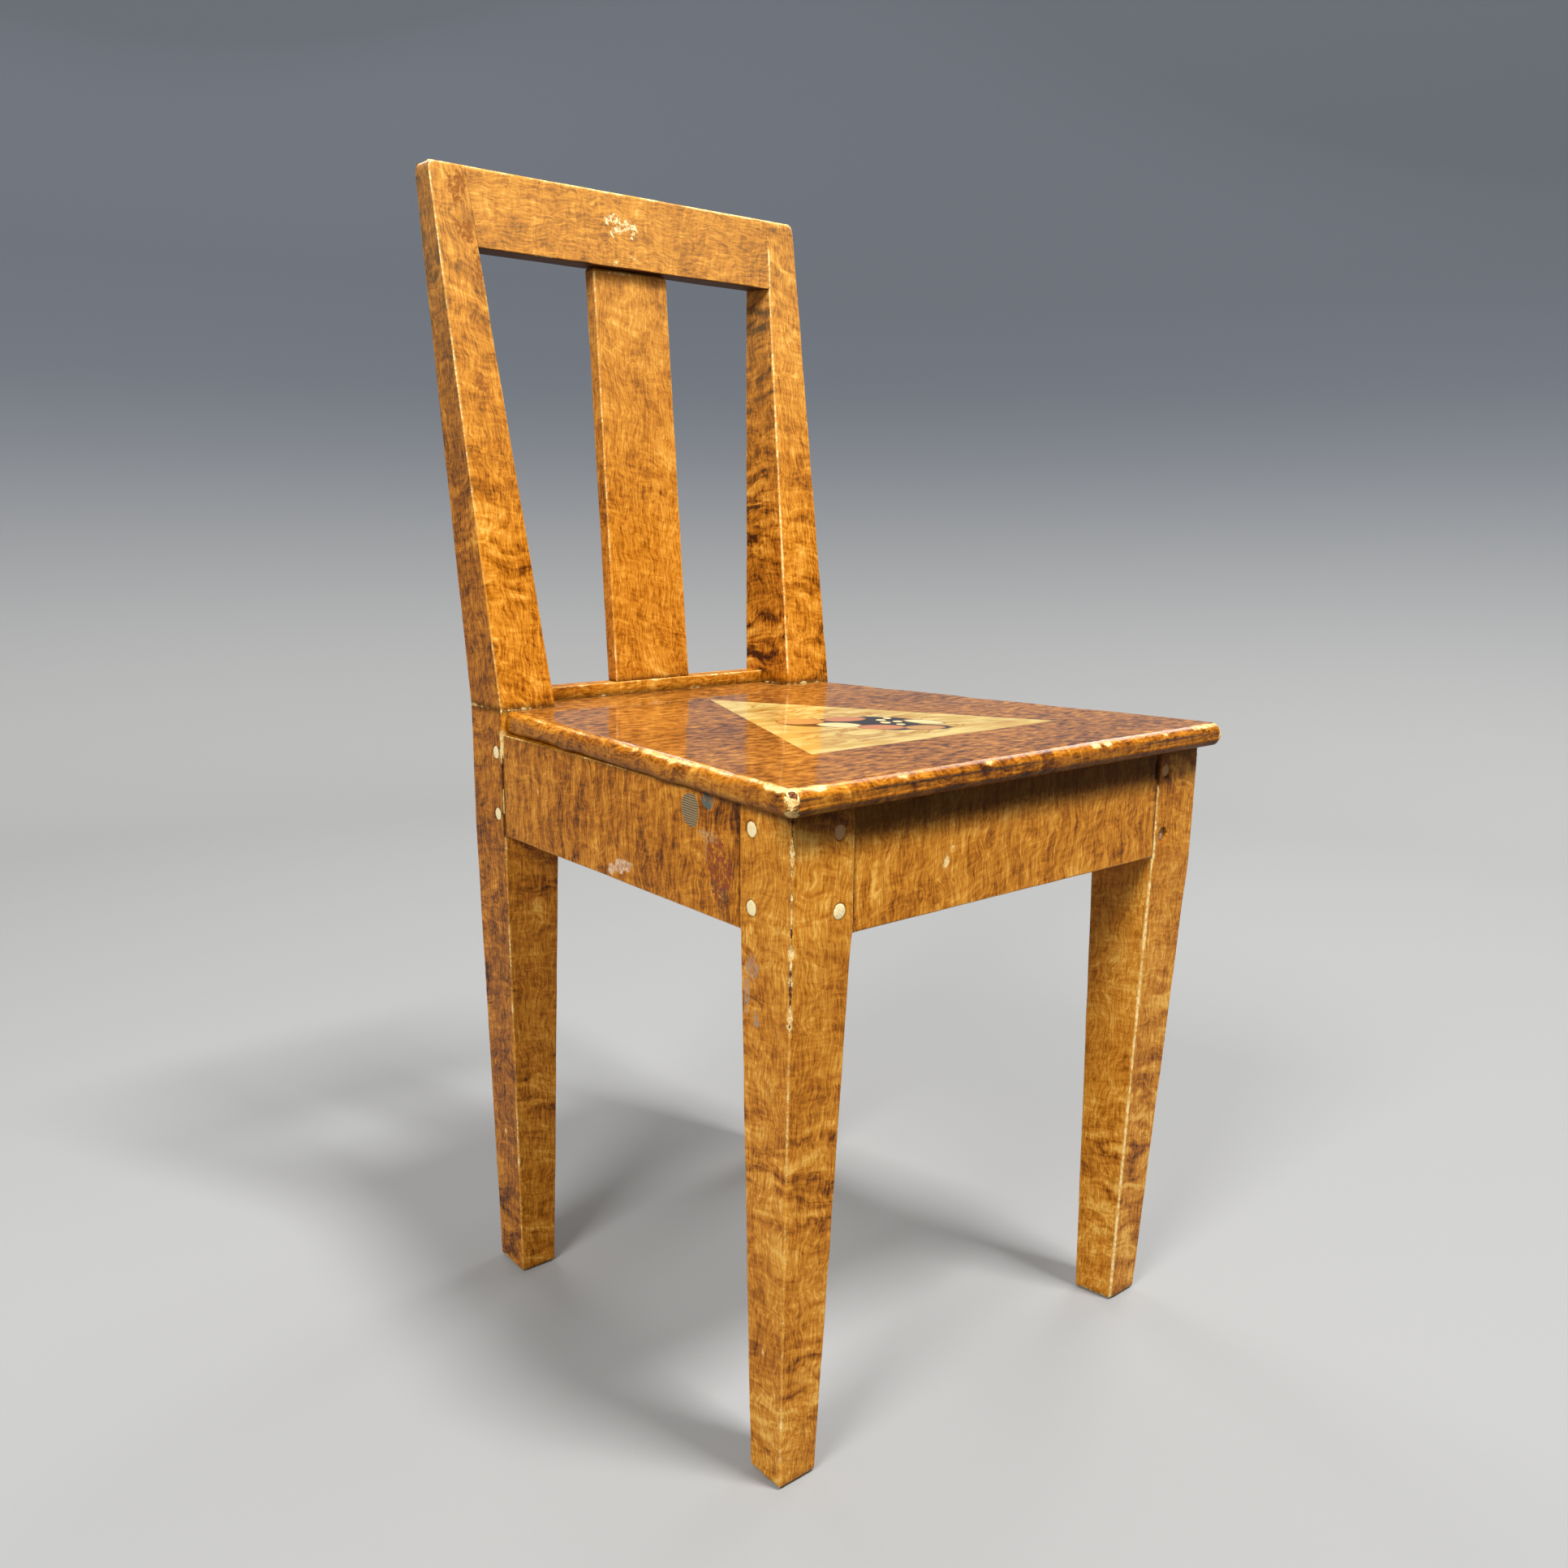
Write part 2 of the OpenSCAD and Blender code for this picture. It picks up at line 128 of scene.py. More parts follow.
class Paint:
    # one material, with a Principled shader at its end
    def __init__(self, name, **fixed):
        self.material = bpy.data.materials.new(name)
        self.material.use_nodes = True
        self.tree = self.material.node_tree
        self.shader = self.tree.nodes["Principled BSDF"]
        for socket, value in fixed.items():
            self.shader.inputs[socket.replace("_", " ")].default_value = value

    def node(self, kind, settings, inputs, output=0):
        made = self.tree.nodes.new(kind)
        for key, value in settings.items():
            if key == "stops":
                ramp = made.color_ramp
                while len(ramp.elements) < len(value):
                    ramp.elements.new(0.5)
                for element, (at, colour) in zip(ramp.elements, value):
                    element.position = at
                    element.color = colour
            else:
                setattr(made, key, value)
        for key, value in inputs.items():
            self.link(made.inputs[key], value)
        return Wire(self, made.outputs[output])

    def link(self, socket, value):
        if isinstance(value, Wire):
            self.tree.links.new(value.socket, socket)
        else:
            socket.default_value = value

    def vector(self, operation, *values):
        return self.node("ShaderNodeVectorMath", {"operation": operation}, dict(enumerate(values)))

    def field(self, name, output="Fac"):
        return self.node("ShaderNodeAttribute", {"attribute_name": name}, {}, output)

    def place(self):
        return self.node("ShaderNodeTexCoord", {}, {}, "Object")

    def parts(self, vector):
        split = self.node("ShaderNodeSeparateXYZ", {}, {0: vector}).socket.node
        return [Wire(self, out) for out in split.outputs]

    def noise(self, vector, scale, detail=2.0, roughness=0.5, distortion=0.0, output="Fac"):
        # scale is one number, or one for each axis
        if not isinstance(scale, (int, float)):
            vector, scale = self.vector("MULTIPLY", vector, scale), 1.0
        return self.node("ShaderNodeTexNoise", {}, {
            "Vector": vector, "Scale": scale, "Detail": detail,
            "Roughness": roughness, "Distortion": distortion}, output)

    def sway(self, vector, scale, detail, reach):
        # what to add to a place to push it about by a noise, as far as reach on each axis
        push = self.vector("SUBTRACT", self.noise(vector, scale, detail, output="Color"), (0.5, 0.5, 0.5))
        return self.vector("MULTIPLY", push, reach)

    def mix(self, share, low, high):
        return self.node("ShaderNodeMix", {"data_type": "RGBA"}, {0: share, 6: low, 7: high}, 2)

    def ramp(self, value, *stops):
        return self.node("ShaderNodeValToRGB", {"stops": stops}, {0: value})

    def bump(self, height):
        # height is in metres
        return self.node("ShaderNodeBump", {}, {"Height": height, "Distance": 1.0, "Strength": 1.0})

    def finish(self, **links):
        for socket, value in links.items():
            self.link(self.shader.inputs[socket.replace("_", " ")], value)
        return self.material


def softNoise(x, size, seed):
    # one-way noise from -1 to 1: random heights every size, with smooth steps between them
    heights = np.random.default_rng(seed).uniform(-1, 1, 4096)
    at = np.asarray(x) / size + 1000
    low = np.floor(at).astype(int)
    share = at - low
    share = share * share * (3 - 2 * share)
    return heights[low % 4096] * (1 - share) + heights[(low + 1) % 4096] * share


def ripple(points, size, seed):
    # smooth noise in space from about -1 to 1: ten plane waves about size long, in random directions
    draw = np.random.default_rng(seed)
    ways = unit(draw.normal(size=(10, 3)))
    waves = 2 * math.pi / (size * draw.uniform(0.6, 1.6, 10))
    return np.sin(points @ (ways * waves[:, None]).T + draw.uniform(0, 6.28, 10)).mean(1) * 2.2


def unit(vectors):
    return vectors / np.maximum(np.linalg.norm(vectors, axis=-1, keepdims=True), 1e-12)


def spread(length, coarse, spots=(), count=None):
    # places from 0 to length, closer together near each spot: (centre, reach, spacing there)
    x = np.linspace(0, length, 3000)
    density = np.full_like(x, 1 / coarse)
    for centre, reach, fine in spots:
        density = np.maximum(density, np.clip(1.6 - abs(x - centre) / reach, 0, 1) / fine)
    total = np.concatenate([[0], np.cumsum((density[1:] + density[:-1]) / 2 * np.diff(x))])
    count = count or max(int(round(total[-1])) + 1, 3)
    return np.interp(np.linspace(0, total[-1], count), total, x)


def strips(index, onward):
    # the four-sided faces between rows of points, from each point to the one beside it in onward
    return np.stack([index[:-1], index[1:], onward[1:], onward[:-1]], -1).reshape(-1, 4)


def cadPoints(node):
    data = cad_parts[node].data
    flat = np.zeros(len(data.vertices) * 3, np.float32)
    data.vertices.foreach_get("co", flat)
    return flat.reshape(-1, 3).astype(float)


def cornersAt(points, z):
    # the four outermost points at a height: front left, front right, back right, back left
    level = points[abs(points[:, 2] - z) < 0.2 * mm]
    return np.array([level[np.argmax(level[:, :2] @ way)] for way in ((-1, -1), (1, -1), (1, 1), (-1, 1))])


def uprightQuads(node, heights):
    points = cadPoints(node)
    return np.array([cornersAt(points, z) for z in heights])


def crossQuads(node, way):
    # a rail's two end sections, from its corners at its lowest and highest levels; way is its axis
    points = cadPoints(node)
    base, top = [cornersAt(points, z) for z in (points[:, 2].min(), points[:, 2].max())]
    if way == "x":      # top front, bottom front, bottom back, top back, at the left and at the right
        return np.array([[top[0], base[0], base[3], top[3]], [top[1], base[1], base[2], top[2]]])
    # bottom left, top left, top right, bottom right, at the front and at the back
    return np.array([[base[0], top[0], top[1], base[1]], [base[3], top[3], top[2], base[2]]])


def pathAlong(quads):
    # how far along the member each section lies, from middle to middle
    steps = np.linalg.norm(np.diff(quads.mean(1), axis=0), axis=1)
    return np.concatenate([[0], np.cumsum(steps)])


# What a member has when its own dictionary doesn't say. Sizes are in mm.
plainMember = {
    "arcSteps": 4,        # steps round each arris
    "edgeReach": 3.5,     # how far in from an arris the mesh stays fine
    "spacing": 2.6,       # of rows along it, of columns on its sides, and of columns by an arris
    "sideSpacing": 3.0,
    "edgeSpacing": 0.8,
    "fineAlong": [],      # finer rows: (place along, reach, spacing)
    "fineAcross": [],     # finer columns: (side, share across, reach, spacing)
    "flushEnds": [],      # end and side that isn't drawn in
    "tight": [],          # sharp arris: (corner, from, to)
    "tightRound": 0.3,
    "grain": "along",
    "wave": (0.10, 0.09, 60),   # how far the hand-worked surface lies in, its swing, and the wave's length
    "wornDeep": 0.2,            # how far a worn edge lies in
    "fade": (580, 220),         # a painted pale sheen comes in above this height, over this much
}
endSteps = 5


class Member:
    # A length of wood: a four-cornered section carried along a path, its arrises and ends rounded.
    # At each place on the path the corners are blended from the sections given, drawn in by the end's
    # rounding, and joined by straight sides and quarter circles of that arris's radius. Each end is
    # closed by a patch that blends its four sides. Wear is kept as fields, in mm above or below an edge.
    def __init__(self, name, quads, look):
        self.name = name
        self.quads = quads
        self.look = {**plainMember, **look}
        self.path = pathAlong(quads)
        self.length = self.path[-1]
        self.build()
        self.startFields()

    def sectionAt(self, where):
        where = np.atleast_1d(where)
        flat = self.quads.reshape(len(self.quads), 12)
        return np.stack([np.interp(where, self.path, flat[:, i]) for i in range(12)], 1).reshape(-1, 4, 3)

    def arris(self, corner, *where):
        # the sharp corner at places on the path
        return self.sectionAt(np.array(where))[:, corner]

    def onSide(self, side, where, across):
        # a point on a side, across from 0 to 1
        quad = self.sectionAt(where)[0]
        return quad[side] * (1 - across) + quad[(side + 1) % 4] * across

    def outward(self, side, where=None):
        quad = self.sectionAt(self.length / 2 if where is None else where)[0]
        inwards = quad[(side - 1) % 4] + quad[(side + 2) % 4] - quad[side] - quad[(side + 1) % 4]
        return -unit(inwards)

    def stations(self):
        # places along the path, with a quarter circle at each end, and how far each is drawn in
        low, high = [v * mm for v in self.look["endRound"]]
        turn = np.linspace(0, math.pi / 2, endSteps)
        lowArc = low * (1 - np.cos(turn))
        highArc = self.length - high * (1 - np.cos(turn[::-1]))
        spots = [(c * mm - lowArc[-1], r * mm, f * mm) for c, r, f in self.look["fineAlong"]]
        inner = spread(highArc[0] - lowArc[-1], self.look["spacing"] * mm, spots)
        where = np.concatenate([lowArc, inner[1:-1] + lowArc[-1], highArc])
        inset = np.zeros(len(where))
        inset[:endSteps] = low * (1 - np.sin(turn))
        inset[-endSteps:] = high * (1 - np.sin(turn[::-1]))
        return where, inset

    def radii(self, where, inset):
        # each arris's radius along the path, tight where another piece meets it flush
        look = self.look
        rounds = look["round"] if isinstance(look["round"], list) else [look["round"]] * 4
        radius = np.stack([r * mm * (1 + 0.35 * softNoise(where, 23 * mm, look["seed"] + 11 * k))
                           for k, r in enumerate(rounds)], 1)
        for corner, low, high in look["tight"]:
            radius[(where > low * mm) & (where < high * mm), corner] = look["tightRound"] * mm
        return np.maximum(radius - inset[:, None], 0.08 * mm)

    def across(self, sides, wide, count=None):
        spots = [(c * wide, r * mm, f * mm) for side, c, r, f in self.look["fineAcross"] if side in sides]
        spots += [(at, self.look["edgeReach"] * mm, self.look["edgeSpacing"] * mm) for at in (0, wide)]
        return spread(wide, self.look["sideSpacing"] * mm, spots, count)

    def build(self):
        look = self.look
        where, inset = self.stations()
        quads = self.sectionAt(where)
        toNext = unit(np.roll(quads, -1, 1) - quads)
        toLast = unit(np.roll(quads, 1, 1) - quads)
        free = np.ones((len(where), 4, 1))
        for end, side in look["flushEnds"]:
            free[-endSteps if end else 0:None if end else endSteps, side] = 0
        quads = quads + inset[:, None, None] * (toNext * np.roll(free, 1, 1) + toLast * free)
        radius = self.radii(where, inset)
        # side by side, from the middle of one arris to the middle of the next
        angles = np.linspace(0, math.pi / 2, look["arcSteps"] + 1)[None, :, None]
        half = look["arcSteps"] // 2
        widths = np.linalg.norm(np.roll(self.quads, -1, 1) - self.quads, axis=2).max(0)
        counts = [len(self.across((k, k + 2), max(widths[k], widths[k + 2]))) for k in (0, 1)]
        arcs = []
        for k in range(4):
            centre = quads[:, k] + radius[:, k, None] * (toNext[:, k] + toLast[:, k])
            ways = -(np.cos(angles) * toNext[:, k, None] + np.sin(angles) * toLast[:, k, None])
            arcs.append((centre[:, None] + radius[:, k, None, None] * ways, ways))
        blocks, normals = [], []
        for k in range(4):
            share = self.across((k,), widths[k], counts[k % 2])[1:-1, None] / widths[k]
            (near, nearWays), (far, farWays) = arcs[k], arcs[(k + 1) % 4]
            straight = near[:, -1:] * (1 - share) + far[:, :1] * share
            flat = np.repeat(nearWays[:, -1:], len(share), 1)
            blocks.append(np.concatenate([near[:, half:], straight, far[:, :half]], 1))
            normals.append(np.concatenate([nearWays[:, half:], flat, farWays[:, :half]], 1))
        marks = np.cumsum([0] + [block.shape[1] for block in blocks])
        tube = np.concatenate(blocks, 1)
        rows, around = tube.shape[:2]
        index = np.arange(rows * around).reshape(rows, around)
        faces = [strips(index, np.roll(index, -1, 1))[:, [0, 3, 2, 1]]]
        points, ways = [tube.reshape(-1, 3)], [np.concatenate(normals, 1).reshape(-1, 3)]
        onPath = [np.repeat(where, around)]
        middles = self.quads.mean(1)
        used = rows * around
        for row, facing, axis in ((0, -1, middles[1] - middles[0]), (rows - 1, 1, middles[-1] - middles[-2])):
            inside, cells = self.endPatch(tube[row], index[row], marks, used)
            used += len(inside)
            faces.append(cells if facing > 0 else cells[:, ::-1])
            points.append(inside)
            ways.append(np.repeat(facing * unit(axis)[None], len(inside), 0))
            onPath.append(np.full(len(inside), where[row]))
        self.points = np.concatenate(points)
        self.normals = np.concatenate(ways)
        self.faces = np.concatenate(faces)
        self.where = np.concatenate(onPath)

    def endPatch(self, loop, index, marks, used):
        # a patch over an end: the blend of its opposite edges each way, less the blend of its corners
        ring = np.append(index, index[0])
        edges = [ring[a:b + 1] for a, b in zip(marks[:-1], marks[1:])]
        c0, c1, c2, c3 = (loop[edge - index[0]] for edge in edges)
        c2, c3 = c2[::-1], c3[::-1]
        u = np.linspace(0, 1, len(c0))[:, None, None]
        v = np.linspace(0, 1, len(c1))[None, :, None]
        patch = ((1 - v) * c0[:, None] + v * c2[:, None] + (1 - u) * c3[None] + u * c1[None]
                 - (1 - u) * (1 - v) * c0[0] - u * (1 - v) * c0[-1] - (1 - u) * v * c2[0] - u * v * c2[-1])
        grid = np.zeros(patch.shape[:2], int)
        grid[:, 0], grid[-1, :], grid[:, -1], grid[0, :] = edges[0], edges[1], edges[2][::-1], edges[3][::-1]
        inside = patch[1:-1, 1:-1]
        grid[1:-1, 1:-1] = used + np.arange(inside.shape[0] * inside.shape[1]).reshape(inside.shape[:2])
        return inside.reshape(-1, 3), strips(grid[:, :-1], grid[:, 1:])

    def startFields(self):
        look = self.look
        mean = self.sectionAt(self.length / 2)[0]
        off = self.points - self.sectionAt(self.where).mean(1)
        along = np.stack([self.where, off @ unit(mean[1] - mean[0]), off @ unit(mean[2] - mean[1])], 1)
        if look["grain"] == "across":
            along = along[:, [1, 0, 2]]
        self.along = along + np.random.default_rng(look["seed"]).uniform(-3, 3, 3)
        count = len(self.points)
        self.fields = {name: np.full(count, value) for name, value in (
            ("worn", -9.0), ("bare", -9.0), ("mark", -9.0), ("grime", 0.0), ("tone", 0.0), ("broken", 0.0),
            ("ridged", 0.0), ("band", float(look["band"])), ("stripe", float(look["stripe"])))}
        # painted sheen: its share rises with height
        start, over = look["fade"]
        self.fields["faded"] = np.clip((self.points[:, 2] / mm - start) / over, 0, 1)
        self.markColour = np.ones((count, 4))
        self.dent = np.zeros(count)

    def lay(self, layer, value):
        self.fields[layer] = np.maximum(self.fields[layer], value)

    def sink(self, value):
        self.dent = np.maximum(self.dent, value * mm)

    def fromLine(self, start, end):
        # every point's distance from a line, in mm, and how far along it that is, from 0 to 1
        start, end = np.asarray(start, float), np.asarray(end, float)
        way = end - start
        share = np.clip((self.points - start) @ way / (way @ way), 0, 1)
        return np.linalg.norm(self.points - (start + share[:, None] * way), axis=1) / mm, share

    def wearLine(self, start, end, mean, swing, size, seed, dent=0.0, layer="worn"):
        # a worn line: mean mm wide on each side, give or take swing, over stretches of size mm
        away, share = self.fromLine(start, end)
        ran = share * np.linalg.norm(np.subtract(end, start))
        wander = 0.65 * softNoise(ran, size * mm, seed) + 0.35 * softNoise(ran, size * mm / 3.7, seed + 1)
        value = mean + swing * wander + 0.4 - away
        if layer == "grime":
            value = np.clip(value, 0, 0.9)
        self.lay(layer, value)
        self.sink(np.clip(value, 0, 1) * dent)

    def wearArris(self, corner, low, high, mean, swing, size, seed, dent=0.25, layer="worn"):
        # low and high are places on the path, in mm; each straight stretch is a line of its own
        stops = [low * mm] + [p for p in self.path if low * mm < p < high * mm] + [high * mm]
        for i, ends in enumerate(zip(stops[:-1], stops[1:])):
            self.wearLine(*self.arris(corner, *ends), mean, swing, size, seed + 31 * i, dent, layer)

    def wearArrises(self, names, rows):
        for name, low, high, mean, swing, size, extra, *more in rows:
            far = high if high > 0 else self.length / mm + high
            self.wearArris(names[name], low, far, mean, swing, size, self.look["seed"] + extra, *more)

    # darkens near a line: used for soil and for painted shade
    def grimeAndShadeNear(self, start, end, reach, strength=1.0):
        self.lay("grime", strength * np.clip(1 - self.fromLine(start, end)[0] / reach, 0, 1))

    def roundOver(self, start, end, reach, depth):
        # wears an arris down: depth mm at the arris, fading to nothing reach mm away
        self.sink(np.clip(1 - self.fromLine(start, end)[0] / reach, 0, 1) ** 2 * depth)

    def allRound(self, quad, wear=None, grime=None):
        # round a section's four sides: wear is (mean, swing, size, seed, dent), and the darkening, for soil
        # and for painted shade, is (reach, strength)
        for corner in range(4):
            ends = quad[corner], quad[(corner + 1) % 4]
            if wear:
                self.wearLine(*ends, *wear[:3], wear[3] + corner, wear[4])
            if grime:
                self.grimeAndShadeNear(*ends, *grime)

    def hole(self, side, centre, radius, depth):
        # a round recess in a side, about the point nearest to centre, with soil round its rim
        out = self.outward(side)
        off = self.points - centre
        away = np.linalg.norm(off - (off @ out)[:, None] * out, axis=1) / mm
        near = (abs(off @ out) < 6 * mm) & (self.normals @ out > 0.7)
        value = np.where(near, radius + 0.35 - away, -9)
        self.sink(np.clip(value / 0.5, 0, 1) * depth)
        self.lay("grime", 0.55 * np.clip(value / 0.4 + 1, 0, 1))

    def spot(self, side, where, across, size, seed, edge=0.25, colour=None, broken=0.2, ridged=0.0, tilt=0.0,
             dent=0.0):
        # an oval on a side: size is its half length along and half width across, in mm; without a colour
        # of its own it is worn to the undercoat
        quad = self.sectionAt(where * mm)[0]
        out = self.outward(side, where * mm)
        wide = unit(quad[(side + 1) % 4] - quad[side])
        off = (self.points - self.onSide(side, where * mm, across)) / mm
        a, b = off @ unit(np.cross(out, wide)), off @ wide
        a, b = a * math.cos(tilt) + b * math.sin(tilt), b * math.cos(tilt) - a * math.sin(tilt)
        away = np.sqrt((a / size[0]) ** 2 + (b / size[1]) ** 2 + (off @ out / 5) ** 2)
        value = (1 - away) * min(size) + edge * min(size) * ripple(self.points, 1.8 * min(size) * mm, seed)
        if colour is not None:
            over = value > self.fields["mark"]
            self.markColour[over] = colour
            self.fields["broken"][over] = broken
            self.fields["ridged"][over] = ridged
        self.lay("worn" if colour is None else "mark", value)
        self.sink(np.clip(value / (0.3 * min(size)), 0, 1) * dent)

    def facing(self, side):
        # 1 where the surface faces as a side does, down to 0 where it faces along it or away
        return np.clip(self.normals @ self.outward(side), 0, 1)

    # painted light and shade: a face's graining is drawn lighter or darker, as the light falls on that side
    def paintSideLight(self, side, amount):
        self.fields["tone"] += amount * self.facing(side) ** 2

    def moreBands(self, amount, reach):
        # more of the graining's bands near the floor, fading out at reach
        self.fields["band"] += amount * np.clip(1 - self.where / reach, 0, 1)

    def finish(self, material, slotName):
        mean, swing, size = self.look["wave"]
        wave = (mean + swing * np.clip(ripple(self.points, size * mm, self.look["seed"] + 3), -1, 1)) * mm
        worn = np.clip(self.fields["worn"], 0, 1) * self.look["wornDeep"] * mm
        points = self.points - self.normals * (worn + wave + self.dent)[:, None]
        return makePiece(self.name, points, self.faces.tolist(), material,
                         {"along": self.along, "markColour": self.markColour, **self.fields})


def meshOf(name, points, faces):
    data = bpy.data.meshes.new(name)
    data.from_pydata(points, [], faces)
    data.polygons.foreach_set("use_smooth", np.ones(len(data.polygons), bool))
    return data


def makePiece(node, points, faces, material, fields):
    data = meshOf(node + "_wood", points.tolist(), faces)
    for key, values in fields.items():
        values = np.asarray(values, np.float32)
        wide = values.size // len(values)
        kind, part = {1: ("FLOAT", "value"), 3: ("FLOAT_VECTOR", "vector"), 4: ("FLOAT_COLOR", "color")}[wide]
        data.attributes.new(key, kind, "POINT").data.foreach_set(part, values.ravel())
    data.materials.append(material)
    data.validate()
    data.update()
    piece = addThing(node + "_wood", data)
    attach(piece, "root")
    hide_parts(node)


# what shows where the finish is gone, and how far each layer lies below the paint, in mm
underneath = {
    "cream": srgb(250, 220, 154),       # the undercoat, in two shades
    "creamDark": srgb(224, 172, 94),
    "redPrimer": srgb(96, 34, 18),
    "rubbed": srgb(236, 178, 88),       # paint worn thin
    "bareWood": srgb(128, 84, 50),
    "darkWood": srgb(78, 34, 18),
    # the dark of soil, also used for painted shade
    "soilAndShade": srgb(52, 28, 10),
    "ridge": srgb(74, 62, 50),          # dark lines across a combed scrape
    "coverDeep": 0.16,
    "coreDeep": 0.20,
    "markDeep": 0.08,
    "uneven": 0.25,                     # slow waves in the whole surface
}

# Amber graining over cream. Each layer has its strength, its waves in a metre along the grain and across
# it, its detail, roughness and twist.
graining = {
    "stops": [(0.00, srgb(66, 30, 2)), (0.20, srgb(122, 66, 6)), (0.40, srgb(170, 99, 14)),
              (0.60, srgb(202, 128, 32)), (0.80, srgb(222, 151, 51)), (1.00, srgb(242, 185, 86))],
    "middle": 0.54,
    "seatMiddle": 0.40,
    "streak": (1.48, 50, 560, 4.0, 0.66, 0.0),     # fine brush streaks along the grain
    "fleck": (0.36, 75, 140, 3.0, 0.62, 0.0),      # mottles as wide as a finger's tip
    "comb": (0.56, 430, 75, 2.0, 0.55, 0.6),       # thin short lines across the grain
    "stripe": (0.80, 20, 130, 2.0, 0.50, 0.0),     # broad stripes along the grain
    "band": (1.45, 72, 24, 3.0, 0.60, 0.9),        # dark bands across the grain
    "cloud": (0.50, 14, 22, 2.0, 0.50, 0.0),       # broad light and dark clouds
    "arc": 0.15,                                   # thin pale arcs where the comb turned
    "hair": (0.42, srgb(96, 50, 8)),               # thin dark hairs along the grain
    "faded": 0.18,                                 # how strong the painted pale sheen is at the top of the back
    # the painted sheen's pale grey
    "sheenColour": srgb(192, 172, 122),
}


def grainFigure(p, along, middle, tone):
    # The graining's lightness is a middle value and a sum of noises drawn out along or across the grain,
    # each less its mean. Two sizes of sway bend them, and the comb and the bands also lean. The arcs lie
    # where a slow noise crosses its middle.
    bent = p.vector("ADD", along, p.sway(along, 20.0, 1.0, (0.020, 0.020, 0.020)))
    bent = p.vector("ADD", bent, p.sway(along, 62.0, 1.5, (0.006, 0.010, 0.010)))
    x, y, z = p.parts(bent)
    leaning = p.node("ShaderNodeCombineXYZ", {}, {0: x + y * 0.22 + z * 0.16, 1: y, 2: z})
    patches = p.noise(along, 11.0, 1.0).step(0.40, 0.6) * 0.8 + 0.35
    shares = {"stripe": [p.field("stripe")], "band": [patches, p.field("band")]}
    layers = {"streak": bent, "fleck": bent, "comb": leaning, "stripe": bent, "band": leaning, "cloud": along}
    light = middle
    figure = {}
    for name, vector in layers.items():
        strength, onward, across, *rest = graining[name]
        layer = figure[name] = p.noise(vector, (onward, across, across), *rest) - 0.5
        for share in shares.get(name, []):
            layer = layer * share
        light = light + layer * strength
    arc = 1 - abs(p.noise(leaning, (36.0, 11.0, 11.0), 1.0, 0.5, 0.9) - 0.5) * 30
    arc = arc.clipped() * p.noise(along, 18.0, 1.0).step(0.5, 0.6)
    # the face's painted light and shade is added to the lightness here
    return light + tone + arc * graining["arc"], figure["streak"]


def wearLayers(p, colour, place, lift):
    # Rubbed paint, cream undercoat, bare core, then stains and scrapes: each shows where its own field plus
    # a ragged noise rises above nothing. Soil lies over the paint in the corners, and painted shade under
    # overhangs and at the feet. lift is the paint's height.
    c = underneath
    rough = p.noise(place, 420.0, 2.0) - 0.5
    ragged = (p.noise(place, 1500.0, 3.0, 0.65) - 0.5) * 2.2 + rough * 2.0
    worn, bare, mark = p.field("worn"), p.field("bare"), p.field("mark")
    edge = worn + ragged
    cover = edge.step(-0.12, 0.12)
    chipped = bare.step(-3.0, -1.5)
    rim = (1 - abs(edge + 0.2) * 2.4).clipped() * chipped
    core = (bare + ragged * 0.8).step(-0.1, 0.2)
    under = p.mix(p.noise(place, 260.0, 3.0, 0.7).step(0.42, 0.62), c["cream"], c["creamDark"])
    under = p.mix(p.noise(place, 900.0, 2.0).step(0.6, 0.68) * chipped * 0.7, under, c["redPrimer"])
    colour = p.mix((worn + rough * 2.0).step(-1.5, 0.1) * 0.42, colour, c["rubbed"])
    colour = p.mix(rim * 0.75, colour, c["soilAndShade"])
    colour = p.mix(cover, colour, under)
    wood = p.mix(p.noise(place, 700.0, 2.0).step(0.4, 0.6), c["bareWood"], c["darkWood"])
    colour = p.mix(core, colour, wood)
    # some marks are broken into specks, and some are combed with fine dark ridges
    whole = 1 - p.noise(place, 330.0, 4.0, 0.75).step(0.47, 0.53) * p.field("broken")
    marked = (mark + ragged * 0.9).step(-0.1, 0.25) * whole
    upward = p.parts(place)[2]
    ridge = upward.maths("SINE", upward * 4200 + p.noise(place, 90.0, 1.0) * 6)
    tint = p.mix(ridge.step(-0.2, 0.5) * p.field("ridged"), p.field("markColour", "Color"), c["ridge"])
    colour = p.mix(marked, colour, tint)
    # soil and painted shade darken the paint
    grime = (p.field("grime") * (0.55 + p.noise(place, 300.0, 3.0, 0.7) * 1.1)).clipped() * (1 - cover * 0.7)
    colour = p.mix(grime * 0.85, colour, c["soilAndShade"])
    hurt = cover.most(core).most(marked * 0.7)
    height = (lift - cover * (c["coverDeep"] * mm) - core * (c["coreDeep"] * mm)
              - marked * (c["markDeep"] * mm) + p.noise(place, 55.0, 2.0) * (c["uneven"] * mm))
    return colour, hurt, grime, height


